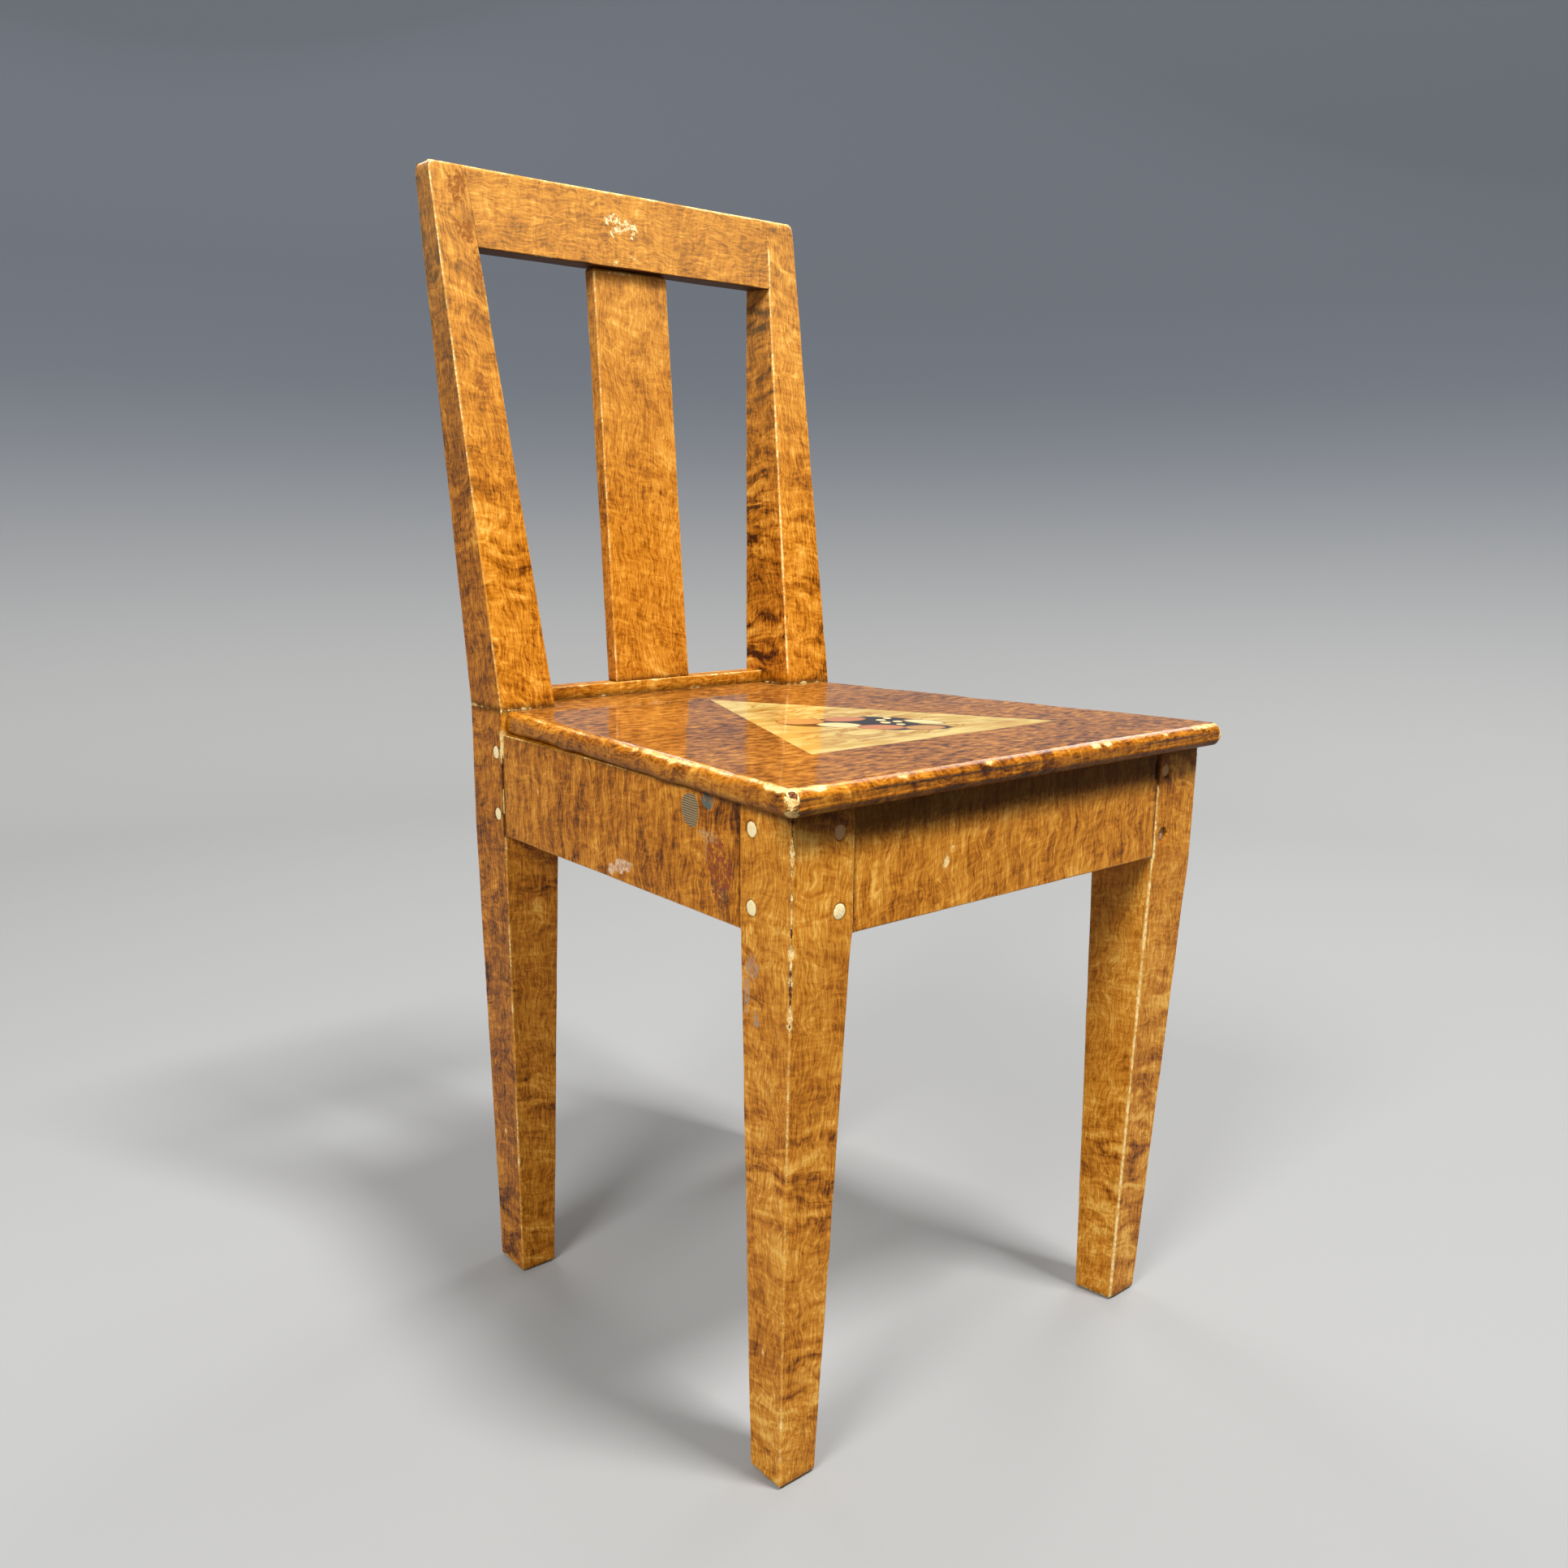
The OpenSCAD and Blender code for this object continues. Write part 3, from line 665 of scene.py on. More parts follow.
def grainedPaint():
    # a gloss varnish over the graining: duller and rougher where it is worn or soiled, and where painted
    # shade lies
    p = Paint("grained_paint", Coat_Roughness=0.14, Coat_IOR=1.4, Specular_IOR_Level=0.06)
    along = p.field("along", "Vector")
    light, streak = grainFigure(p, along, graining["middle"], p.field("tone"))
    colour = p.ramp(light, *graining["stops"])
    hair = p.noise(along, (55.0, 1150.0, 1150.0), 2.0, 0.6).step(0.57, 0.68)
    colour = p.mix(hair * graining["hair"][0], colour, graining["hair"][1])
    # painted sheen: the top of the back mixed towards pale grey
    colour = p.mix(p.field("faded") * graining["faded"], colour, graining["sheenColour"])
    colour, hurt, grime, height = wearLayers(p, colour, p.place(), streak * (0.05 * mm))
    return p.finish(
        Base_Color=colour,
        Roughness=0.40 + hurt * 0.3 + grime * 0.2 + streak * 0.15,
        Coat_Weight=(1 - hurt) * (1 - grime) * 0.24,
        Normal=p.bump(height))


paintMaterial = grainedPaint()
print("graining mixed")


# heights that several pieces share
seatUnder, seatTop = [corner.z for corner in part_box("seat_board")]
railLow, railTop = [corner.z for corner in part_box("top_rail")]
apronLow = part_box("front_apron")[0].z
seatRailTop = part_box("back_seat_rail")[1].z
apronLowMm, seatUnderMm, seatTopMm = apronLow / mm, seatUnder / mm, seatTop / mm
pegHeights = (apronLowMm + 15, seatUnderMm - 15)

# An upright's corners are 0 front left, 1 front right, 2 back right, 3 back left, and its sides are
# 0 front, 1 right, 2 back, 3 left. These are the names of its corners and sides by where it stands.
placing = {
    "left": {"outer": 0, "inner": 1, "backInner": 2, "backOuter": 3, "innerSide": 1, "outerSide": 3},
    "right": {"outer": 1, "inner": 0, "backInner": 3, "backOuter": 2, "innerSide": 3, "outerSide": 1},
}


def pegTips(node):
    # the middle of each peg's outer end, from its CAD points: the end further from the chair's middle
    points = cadPoints(node)
    middle = (points.min(0) + points.max(0)) / 2
    wide = int(np.ptp(points[:, 1]) > np.ptp(points[:, 0]))
    found = []
    for high in (False, True):
        for far in (False, True):
            chosen = points[((points[:, 2] > middle[2]) == high) & ((points[:, wide] > middle[wide]) == far)]
            centre = (chosen.min(0) + chosen.max(0)) / 2
            off = chosen - centre
            axis = np.linalg.eigh(off.T @ off)[1][:, -1]
            axis = unit(axis * np.sign(axis[:2] @ centre[:2]) * [1, 1, 0])
            length = np.ptp(chosen @ axis)
            found.append({"tip": centre + axis * length / 2, "axis": axis, "length": length,
                          "radius": np.ptp(chosen[:, 2]) / 2,
                          "word": ("right" if centre[0] > 0 else "left") + (" high" if high else " low")})
    return found


# how far each peg of the front apron has sunk into its hole, in mm
sunkPegs = {"right low": 2.4, "right high": 1.6, "left high": 0.8}
holeRim = 0.35


def drillPegs(member, side, node, sunk=None):
    for peg in pegTips(node):
        if np.linalg.norm(member.points - peg["tip"], axis=1).min() < 2 * mm:
            member.hole(side, peg["tip"], peg["radius"] / mm, holeRim + (sunk or {}).get(peg["word"], 0))


# Worn arrises are given as corner, from, to, mean, swing, size, number added to the seed, then depth and
# layer where they aren't the usual ones. A far end of 0 or less counts back from the top.
frontLegLook = {
    "mesh": {"spacing": 2.2, "sideSpacing": 3.2, "round": 1.5, "endRound": (3.2, 0.4),
             "fineAlong": [(height, 8, 0.7) for height in pegHeights], "band": 1.15, "stripe": 0.4},
    "seed": {"left": 100, "right": 200},
    "tightTo": {"left": 1000, "right": apronLowMm + 50},
    "arrises": {
        "left": [("outer", 318, 0, 0.9, 1.7, 9, 1), ("outer", 318, 0, -0.3, 1.9, 8, 2, 0.6, "bare"),
                 ("outer", 0, 318, 0.25, 0.65, 26, 3), ("outer", 0, 60, 0.3, 1.5, 8, 4),
                 ("inner", 0, 0, -0.25, 0.8, 14, 5), ("backOuter", 0, 366, -0.15, 0.9, 18, 6),
                 ("backInner", 0, 366, -0.3, 0.8, 15, 7)],
        "right": [("inner", 0, -24, 0.85, 0.8, 17, 1), ("inner", apronLowMm, -24, 1.4, 1.6, 8, 8),
                  ("outer", 385, 440, 0.1, 1.3, 9, 2), ("outer", 0, 385, -0.2, 0.8, 20, 3),
                  ("backInner", 0, 366, -0.1, 0.8, 18, 6), ("backInner", 0, 366, -0.3, 0.8, 15, 7)],
    },
    "spots": {
        "left": [(3, 345, 0.25, (8, 5), 3, 0.5, srgb(176, 142, 118), 0.8),
                 (3, 313, 0.32, (5, 3), 4, 0.5, srgb(170, 142, 124), 0.7),
                 (3, 330, 0.12, (14, 3), 6, 0.5, srgb(186, 150, 118), 0.8), (3, 92, 0.45, (2.6, 0.9), 7)],
        "right": [],
    },
    # painted light and shade: fronts and left faces lighter, backs darker
    "tones": {"left": {2: -0.05, 0: 0.05, 3: 0.07}, "right": {2: -0.05, 0: 0.05, 3: 0.12}},
    "slot": 22,            # how far the right leg's inner arris is broken away below the seat, where painted shade darkens the open joint
    "shade": (28, 0.9),    # reach and strength of the painted shadow of the seat's overhang
    "footBands": (0.35, 0.33),   # more bands near the foot, fading out this high up, in metres
}


def frontLeg(hand, look):
    # A tapered square leg: its section is carried from the floor through the apron's lower edge to the seat.
    c, seed, left = placing[hand], look["seed"][hand], hand == "left"
    node = "front_leg_" + hand
    leg = Member(node, uprightQuads(node, [0, apronLow, seatUnder]), {
        **look["mesh"], "seed": seed,
        "tight": [(c["inner"], apronLowMm, look["tightTo"][hand]), (c["backOuter"], apronLowMm, 1000),
                  (c["backInner"], apronLowMm, 1000)],
        "fineAcross": [(0, 0.78 if left else 0.22, 7, 0.75),
                       (c["outerSide"], 0.22 if left else 0.78, 7, 0.75)]})
    # wear round the foot, and painted shade along its bottom edge
    leg.allRound(leg.sectionAt(0.4 * mm)[0], (1.5, 1.9, 9, seed + 50, 0.3), (3, 0.8))
    leg.allRound(leg.sectionAt(leg.length)[0], grime=(3.5, 0.75))
    leg.wearArrises(c, look["arrises"][hand])
    for row in look["spots"][hand]:
        leg.spot(*row)
    if not left:
        # the open joint by the apron: the arris is worn down, and painted shade darkens it
        slot = leg.arris(c["inner"], seatUnder - look["slot"] * mm, seatUnder)
        leg.grimeAndShadeNear(*slot, 5.5, 1.6)
        leg.roundOver(*slot, 5, 2.6)
    drillPegs(leg, 0, "front_apron_pegs", sunkPegs)
    drillPegs(leg, c["outerSide"], hand + "_apron_pegs")
    # painted light and shade on each face
    for side, amount in look["tones"][hand].items():
        leg.paintSideLight(side, amount)
    # painted shadow of the seat's overhang across the top of the leg's front
    leg.grimeAndShadeNear(leg.onSide(0, leg.length, 0), leg.onSide(0, leg.length, 1), *look["shade"])
    leg.moreBands(*look["footBands"])
    return leg


postLook = {
    "mesh": {"sideSpacing": 3.4, "round": 1.3, "endRound": (3.0, 2.0),
             "fineAlong": [(height, 8, 0.8) for height in pegHeights], "band": 0.95, "stripe": 0.35},
    "seed": {"left": 300, "right": 400},
    # lines on the left post's outer arris, at its joint with the side apron: from and to in metres, mean,
    # swing, size, number added to the seed, then depth and layer
    "filler": [(0.424, 0.442, 3.2, 1.6, 6, 8, 0.5), (0.414, 0.424, 1.6, 0.8, 5, 10, 1.2, "bare"),
               (0.385, 0.400, 0.9, 1.0, 6, 9)],
    "gap": (0.367, 0.425, 4.5, 1.2),
    # brown smudges on the left post's front: below the top, across, half length and half width
    "smudges": [(20, 0.62, 11, 6), (46, 0.74, 9, 6), (12, 0.8, 6, 4), (150, 0.55, 10, 5), (70, 0.9, 12, 3)],
    "smudge": srgb(150, 90, 38),
    # painted shade: the side faces drawn darker
    "tones": {"left": {"outerSide": -0.17, "innerSide": -0.06},
              "right": {"outerSide": -0.02, "innerSide": -0.14}},
    "innerBands": {"left": 0.3, "right": 0.9},    # more bands on the inner face above the seat
    "footBands": (0.35, 0.33),
}


def backPost(hand, look):
    # One length from the floor to the top edge: its section is carried past the apron and the seat, where it
    # bends back, and is drawn in again towards the top.
    c, seed, left = placing[hand], look["seed"][hand], hand == "left"
    heights = [0, apronLow, seatTop, railTop]
    quads = uprightQuads("back_post_" + hand, heights)
    path = pathAlong(quads)
    rail, top = np.interp(railLow, heights, path) / mm, path[-1] / mm
    tight = [(c["inner"], rail, top), (c["backInner"], rail, top)]
    post = Member("back_post_" + hand, quads, {
        **look["mesh"], "seed": seed, "flushEnds": [(1, c["innerSide"])],
        "tight": tight if left else tight + [(c["outer"], apronLowMm, seatUnderMm)],
        "fineAcross": [(c["outerSide"], 0.76 if left else 0.24, 7, 0.8),
                       (2, 0.24 if left else 0.76, 7, 0.8)]})
    post.wearArrises(c, [
        ("outer", seatTopMm, 0, 0.3 if left else 0.0, 0.65, 22, 1),
        ("outer", 0, apronLowMm if left else seatUnderMm, 0.1, 0.75, 19, 2),
        ("inner", seatRailTop / mm, rail, -0.15 if left else 0.5, 0.6, 24, 3),
        ("inner", 0, apronLowMm, -0.2, 0.8, 17, 4),
        ("backOuter", 0, 0, 0.1, 0.8, 18, 5), ("backInner", 0, rail, -0.1, 0.8, 18, 6)])
    crest = post.sectionAt(post.length)[0]
    post.allRound(crest, (0.7, 0.8, 12, seed + 60, 0.2))
    # wear round the foot, and painted shade along its bottom edge
    post.allRound(post.sectionAt(0.4 * mm)[0], (1.2, 1.8, 9, seed + 70, 0.3), (3, 0.8))
    if left:
        for low, high, mean, swing, size, extra, *more in look["filler"]:
            post.wearLine(*post.arris(c["outer"], low, high), mean, swing, size, seed + extra, *more)
        low, high, *soilAndShade = look["gap"]
        post.grimeAndShadeNear(*post.arris(c["outer"], low, high), *soilAndShade)
        for i, (drop, across, *size) in enumerate(look["smudges"]):
            post.spot(0, top - drop, across, size, 320 + i, 0.6, look["smudge"], 0.7)
        post.spot(3, 118, 0.5, (2.4, 1.6), 9)
    else:
        # a cream line of filler at the joint with the top rail
        post.wearLine(*post.arris(c["inner"], (rail + 1) * mm, (rail + 32) * mm), 1.3, 0.7, 12, seed + 8)
    post.roundOver(crest[c["outer"]], crest[c["backOuter"]], 8, 2.2)
    # dirt where the post meets the seat, and a few cream specks in it
    post.allRound(post.sectionAt(seatTop + 0.5 * mm)[0], (-0.4, 1.6, 5, seed + 80, 0.0), (5.0, 0.9))
    drillPegs(post, c["outerSide"], hand + "_apron_pegs")
    drillPegs(post, 2, "back_rail_pegs")
    # painted shade on the side faces and the back
    for side, amount in look["tones"][hand].items():
        post.paintSideLight(c[side], amount)
    post.paintSideLight(2, -0.04)
    post.fields["band"] += look["innerBands"][hand] * post.facing(c["innerSide"]) * (post.where > seatTop)
    post.moreBands(*look["footBands"])
    return post


members = {}
for shape, look in ((frontLeg, frontLegLook), (backPost, postLook)):
    for hand in ("left", "right"):
        upright = shape(hand, look)
        members[upright.name] = upright
print("legs and posts shaped")


# each rail's seed, the axis it runs along and its grain; its sides are 0 front or outer, then round
apronLook = {
    "mesh": {"edgeSpacing": 0.9, "round": 0.9, "endRound": (0.35, 0.35), "band": 0.35, "stripe": 1.2},
    "rails": {"front_apron": (500, "x", "across"), "left_apron": (540, "y", "across"),
              "right_apron": (580, "y", "across"), "back_seat_rail": (620, "x", "along")},
    # spots: place along, across, half length and half width, seed, raggedness, colour, how broken, how
    # ridged, tilt and depth
    "frontSpots": [(80, 0.60, (2.6, 4.4), 11, 0.25, None, 0.2, 0.0, 0.3, 0.3),
                   (86, 0.50, (1.8, 1.6), 12, 0.25, None, 0.2, 0.0, 0.0, 0.2),
                   (62, 0.25, (0.9, 3.4), 13, 0.25, srgb(205, 190, 160))],
    "leftSpots": [(53, 0.82, (9.5, 11), 21, 0.12, srgb(158, 140, 106), 0.1, 0.9),
                  (34, 0.93, (7, 5), 22, 0.3, srgb(84, 104, 100), 0.55),
                  (24, 0.40, (12, 18), 23, 0.6, srgb(146, 74, 44), 1.0),
                  (20, 0.20, (8, 9), 24, 0.6, srgb(112, 74, 54), 0.95),
                  (33, 0.62, (9, 8), 25, 0.6, srgb(196, 150, 104), 1.0),
                  (138, 0.14, (14, 5), 26, 0.45, srgb(226, 190, 156), 0.6, 0.0, -0.3, 0.3),
                  (253, 0.55, (1.6, 1.3), 27)],
    # painted shade in the open joint at the front apron's right end
    "slot": srgb(34, 20, 10),
}


def apron(node, seed, way, grain):
    # a straight board between two posts: one section carried from end to end
    rail = Member(node, crossQuads(node, way), {**apronLook["mesh"], "seed": seed, "grain": grain})
    for corner in range(4):
        rail.wearArris(corner, 0, rail.length / mm, -0.35, 0.75, 20, seed + corner)
    for end in (0, rail.length):
        rail.allRound(rail.sectionAt(end)[0], grime=(1.8, 0.7))
    return rail


for node, (seed, way, grain) in apronLook["rails"].items():
    members[node] = apron(node, seed, way, grain)

# the front apron's chip and scratch, the open joint at its right end, and a painted shadow of the seat's
# overhang along its top
front = members["front_apron"]
for row in apronLook["frontSpots"]:
    front.spot(0, *row)
# painted shade in the open joint at the right end, on a shallow dent
front.spot(0, front.length / mm - 1.5, 0.15, (2.4, 10), 14, 0.15, apronLook["slot"], 0.0, dent=1.0)
slot = front.sectionAt(front.length)[0][0]
front.grimeAndShadeNear(slot, slot - [0, 0, 21 * mm], 4.5, 1.6)
# a narrow dark line along the top, and a broad painted shadow of the seat's overhang
for reach, strength in ((5, 0.6), (31, 1.7)):
    front.grimeAndShadeNear(*front.arris(0, 0, front.length), reach, strength)
# painted light: the front face drawn lighter
front.paintSideLight(0, 0.05)

# the left apron's scrapes, then filler and a dark gap at its joint with the post
left = members["left_apron"]
for row in apronLook["leftSpots"]:
    left.spot(0, *row)
left.grimeAndShadeNear(*left.arris(1, 0, left.length), 4, 0.6)
# painted shade: the outer face drawn darker
left.paintSideLight(0, -0.10)
lowEnd, highEnd = left.sectionAt(left.length)[0][:2]
left.wearLine(highEnd - [0, 0, 17 * mm], highEnd, 2.8, 1.8, 6, 28, 0.3)
left.grimeAndShadeNear(lowEnd, highEnd - [0, 0, 16 * mm], 3.5, 1.1)

# the rail at the back of the seat: a pale lit edge, and dirt with cream specks along its foot
seatRail = members["back_seat_rail"]
seatRail.wearArris(0, 0, seatRail.length / mm, 0.1, 0.9, 9, 640)
railFoot = seatRail.onSide(0, 0, 0.1), seatRail.onSide(0, seatRail.length, 0.1)
seatRail.grimeAndShadeNear(*railFoot, 5.5, 0.8)
seatRail.wearLine(*railFoot, -0.7, 2.0, 6, 641)
print("aprons shaped")


topRailLook = {
    "mesh": {"spacing": 2.4, "round": [2.0, 1.1, 1.1, 2.0], "endRound": (0.25, 0.25),
             "flushEnds": [(end, side) for end in (0, 1) for side in range(4)],
             "seed": 700, "band": 0.5, "stripe": 0.5},
    "arrises": [(0, 0.75, 15, 701), (3, 0.2, 15, 702), (1, -0.2, 18, 703), (2, -0.3, 18, 704)],
    # scuffs above the splat: place from the middle, across, half length and half width
    "scratches": [(-15, 0.34, 9, 3.5), (-5, 0.43, 9, 3.5), (2, 0.54, 5, 3), (-12, 0.5, 12, 2.5)],
    "chips": [(-2, 0.84, 2.4, 1.6), (2, 0.90, 2, 1.3), (-18, 0.92, 2.2, 1.5)],
    "scuff": srgb(246, 222, 168),
}


def shapeTopRail(look):
    # a straight raked board: one section carried from post to post, its two upper arrises well worn
    rail = Member("top_rail", crossQuads("top_rail", "x"), look["mesh"])
    long = rail.length / mm
    for corner, mean, size, seed in look["arrises"]:
        rail.wearArris(corner, 0, long, mean, 0.8, size, seed)
    for i, (at, across, *size) in enumerate(look["scratches"] + look["chips"]):
        colour = look["scuff"] if i < len(look["scratches"]) else None
        rail.spot(0, long / 2 + at, across, size, 710 + i, 0.7, colour, 1.0, tilt=-0.35)
    # painted shade: the underside drawn darker
    rail.paintSideLight(1, -0.35)
    rail.lay("grime", 1.1 * np.clip(-rail.normals[:, 2], 0, 1) ** 2)     # painted shade on its underside
    return rail


splatLook = {
    "mesh": {"sideSpacing": 3.2, "round": 1.2, "endRound": (0.4, 3.6),
             "seed": 800, "band": 0.6, "stripe": 0.25},
    "arrises": [(0, 0.15), (1, 0.15), (2, -0.1), (3, -0.1)],
    # painted light and shade: the front lighter, the left side darker
    "tones": {0: 0.04, 3: -0.06},
}


def shapeSplat(look):
    # a flat raked board: its section is carried from the seat's rail to the top rail
    splat = Member("back_splat", uprightQuads("back_splat", [seatRailTop, railLow]), look["mesh"])
    for corner, mean in look["arrises"]:
        splat.wearArris(corner, 0, splat.length / mm, mean, 0.6, 21, 801 + corner)
    foot, crown = splat.sectionAt([0, splat.length])
    splat.allRound(foot, (-0.7, 1.9, 5, 850, 0.0), (4, 0.9))
    # painted shadow round the top end, under the top rail
    splat.allRound(crown, grime=(3.0, 1.2))
    splat.wearLine(crown[0] + [2 * mm, 0, -3 * mm], crown[1] + [-2 * mm, 0, -3 * mm], 0.1, 0.6, 12, 855)
    for side, amount in look["tones"].items():
        splat.paintSideLight(side, amount)
    return splat


members["top_rail"] = shapeTopRail(topRailLook)
members["back_splat"] = shapeSplat(splatLook)
print("back shaped")

for member in members.values():
    member.finish(paintMaterial, "grained_paint")


# The seat's corners are 0 bottom left, 1 top left, 2 top right, 3 bottom right, and its sides are 0 left,
# 1 top, 2 right, 3 bottom.
seatLook = {
    "mesh": {"spacing": 3.0, "edgeSpacing": 1.2, "round": [5.5, 7.0, 7.0, 5.5],
             "endRound": (6.8, 0.4), "arcSteps": 10, "seed": 900, "fineAlong": [(0, 16, 1.1)],
             "band": 0.7, "stripe": 0.5},
    "postGap": 0.3,
    "turnDown": (3.4, 1.5),     # where the flat top turns down: in from the outline, and below the top
    "topFrom": (4.6, 1.2),      # where the top's finish begins: in from the outline, and below the top
    # chips: place across in metres, or share of the way back, and half width
    "frontChips": [(-0.128, 0.9), (-0.052, 1.2), (0.058, 1.6), (0.071, 1.1), (0.139, 0.8)],
    "leftChips": [(0.10, 1.1), (0.34, 1.8), (0.47, 0.8)],
}


def seatQuads(gap):
    # the outline at the front, at the shoulders before the posts, just behind them, and at the back
    low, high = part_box("seat_board")
    points = cadPoints("seat_board")
    post = members["back_post_left"].sectionAt(seatTop)[0]
    shoulder = post[1][1] - gap
    wide = abs(points[abs(points[:, 1] - shoulder) < 0.1 * mm][:, 0]).max()
    inner = [-np.interp(y, post[1:3, 1], post[1:3, 0]) - gap for y in (shoulder, high.y)]
    halves = [(low.y, high.x), (shoulder, wide), (shoulder + 0.01 * mm, inner[0]), (high.y, inner[1])]
    return np.array([[(-x, y, low.z), (-x, y, high.z), (x, y, high.z), (x, y, low.z)] for y, x in halves])


# A plank with rounded edges: its section is carried from the front edge to the back, between the posts.
seat = Member("seat_board", seatQuads(seatLook["postGap"] * mm), seatLook["mesh"])
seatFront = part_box("seat_board")[0].y


def seatHalf(y):
    # half the seat's width, ahead of its shoulders
    return np.interp(y, seat.quads[:2, 0, 1], seat.quads[:2, 2, 0])


def seatEdge(side, y):
    # the line where the flat top turns down into the left edge, -1, or the right edge, 1
    inwards, down = seatLook["turnDown"]
    return np.array([side * (seatHalf(y) - inwards * mm), y, seatTop - down * mm])


def beside(place, x, y, z):
    # a place moved by millimetres
    return place + np.array([x, y, z]) * mm


def wearSeat():
    frontLeft, frontRight = [seatEdge(side, seatFront + seatLook["turnDown"][0] * mm) for side in (-1, 1)]
    backLeft, backRight = [seatEdge(side, seat.quads[1][0][1]) for side in (-1, 1)]
    between = frontLeft * 0.55 + backLeft * 0.45
    # from, to, mean, swing, size, seed, depth, and the layer where it isn't worn paint
    for start, end, *wear in (
            (frontLeft, frontRight, -0.75, 1.3, 9, 901, 0.3),
            (frontLeft, frontRight, -2.6, 2.9, 7, 902, 0.6, "bare"),
            (frontLeft, between, 0.6, 1.2, 10, 903, 0.3),
            (between, backLeft, -0.3, 1.1, 11, 904, 0.3),
            (frontRight, backRight, 0.1, 1.3, 9, 905, 0.3),
            (beside(frontLeft, 0, -0.9, -1.5), beside(frontRight, 0, -0.9, -1.5),
             -0.1, 0.9, 15, 906, 0.25, "grime"),
            (beside(frontLeft, -0.9, 0, -1.5), beside(backLeft, -0.9, 0, -1.5),
             -0.2, 0.9, 13, 907, 0.25, "grime"),
            # the broken front left corner: cream round a bare core, with a piece gone
            (frontLeft, beside(frontLeft, 1, 1, -12), 3.6, 1.2, 4, 910, 0.9),
            (beside(frontLeft, 0, 0, -1), beside(frontLeft, 1, 0, -9), 2.4, 1.4, 3, 911, 1.2, "bare"),
            (beside(frontLeft, 0, 2, 0), beside(frontLeft, 26, 0, 0), 1.6, 1.2, 5, 912, 0.4),
            (frontLeft, beside(frontLeft, 1, 22, 0), 1.4, 1.2, 5, 913, 0.4),
            # the front right corner is worn to cream all round
            (beside(frontRight, 2, -2, 1), beside(frontRight, 2, -2, -11), 5.6, 1.0, 5, 914, 0.7),
            (frontRight, beside(frontRight, -34, 0, 0), 1.3, 0.7, 9, 915, 0.3)):
        seat.wearLine(start, end, *wear)
    for i, (x, size) in enumerate(seatLook["frontChips"]):
        at = np.array([x, seatFront + 1.8 * mm, seatTop - 1.4 * mm])
        seat.wearLine(at, beside(at, 5, 0, -1), size, 0.9, 3, 920 + i, 0.5)
    for i, (share, size) in enumerate(seatLook["leftChips"]):
        at = frontLeft * (1 - share) + backLeft * share
        seat.wearLine(at, beside(at, 0, 4, -1), size, 0.9, 3, 930 + i, 0.5)
    # painted shade on the nosing's lower half, at the front and left, then dirt at the back, against the
    # posts and the rail
    lowLeft, lowRight = seat.sectionAt(0)[0][[0, 3]]
    seat.grimeAndShadeNear(lowLeft, lowRight, 13, 0.85)
    seat.grimeAndShadeNear(lowLeft, seat.quads[1][0], 11, 0.6)
    seat.grimeAndShadeNear(*seat.sectionAt(seat.length)[0][1:3], 6, 0.9)
    for post in ("back_post_left", "back_post_right"):
        seat.allRound(members[post].sectionAt(seatTop)[0], grime=(5, 0.9))


def divideSeat():
    # topField is how far inside the turned-down edge a point lies, in mm; the nosing's graining follows
    # each edge
    toSide = seatHalf(seat.points[:, 1]) - abs(seat.points[:, 0])
    toFront = seat.points[:, 1] - seatFront
    inwards, down = seatLook["topFrom"]
    inside = np.minimum(toSide, toFront) / mm - inwards
    inside = np.minimum(inside, (seat.points[:, 2] - (seatTop - down * mm)) / mm * 3)
    seat.fields["topField"] = np.clip(inside, -4, 8)
    seat.along = seat.points + [3.1, 1.7, 0.4]
    onSides = (toSide < 6 * mm) & (toSide < toFront)
    seat.along[onSides] = seat.along[onSides][:, [1, 2, 0]]


wearSeat()
divideSeat()

tan, ivory, rose = srgb(196, 142, 78), srgb(238, 214, 152), srgb(198, 126, 80)
seatFinish = {
    "stops": [(0.00, srgb(60, 28, 8)), (0.22, srgb(100, 54, 16)), (0.45, srgb(146, 88, 30)),
              (0.68, srgb(176, 112, 42)), (1.00, srgb(210, 148, 66))],
    "apex": (0.0, 0.103), "baseY": -0.144, "baseHalf": 0.122,     # the triangle, in metres
    "pale": (srgb(200, 160, 76), srgb(226, 200, 122)),
    "vein": srgb(168, 108, 34),
    # plain pebbles on a dark field, about one middle: centre across and up, half sizes, turn, colour
    "middle": (0.001, -0.064), "turn": math.radians(-42), "scale": 1.3,
    "field": srgb(40, 30, 24),
    "shade": srgb(150, 96, 48),
    "fields": [((0.006, 0.006), (0.030, 0.019), 0.1), ((-0.020, -0.004), (0.024, 0.013), 0.0),
               ((0.024, -0.013), (0.026, 0.012), 0.1)],
    "pebbles": [((-0.033, 0.003), (0.014, 0.011), 0.3, tan), ((-0.012, -0.009), (0.013, 0.009), -0.2, ivory),
                ((0.011, -0.015), (0.013, 0.009), 0.1, rose), ((0.034, -0.014), (0.012, 0.008), 0.3, tan),
                ((-0.008, 0.014), (0.013, 0.009), 0.5, rose), ((0.036, 0.008), (0.013, 0.007), -0.5, ivory),
                ((0.014, 0.003), (0.0030, 0.0036), 0, ivory), ((0.021, 0.008), (0.0028, 0.0034), 0, ivory),
                ((0.012, 0.012), (0.0028, 0.0034), 0, ivory), ((0.022, -0.003), (0.0026, 0.0030), 0, ivory),
                ((0.016, 0.020), (0.0024, 0.0030), 0, ivory)],
    "shadedFrom": 0.005,      # pebbles at least this long have a darker rim
}


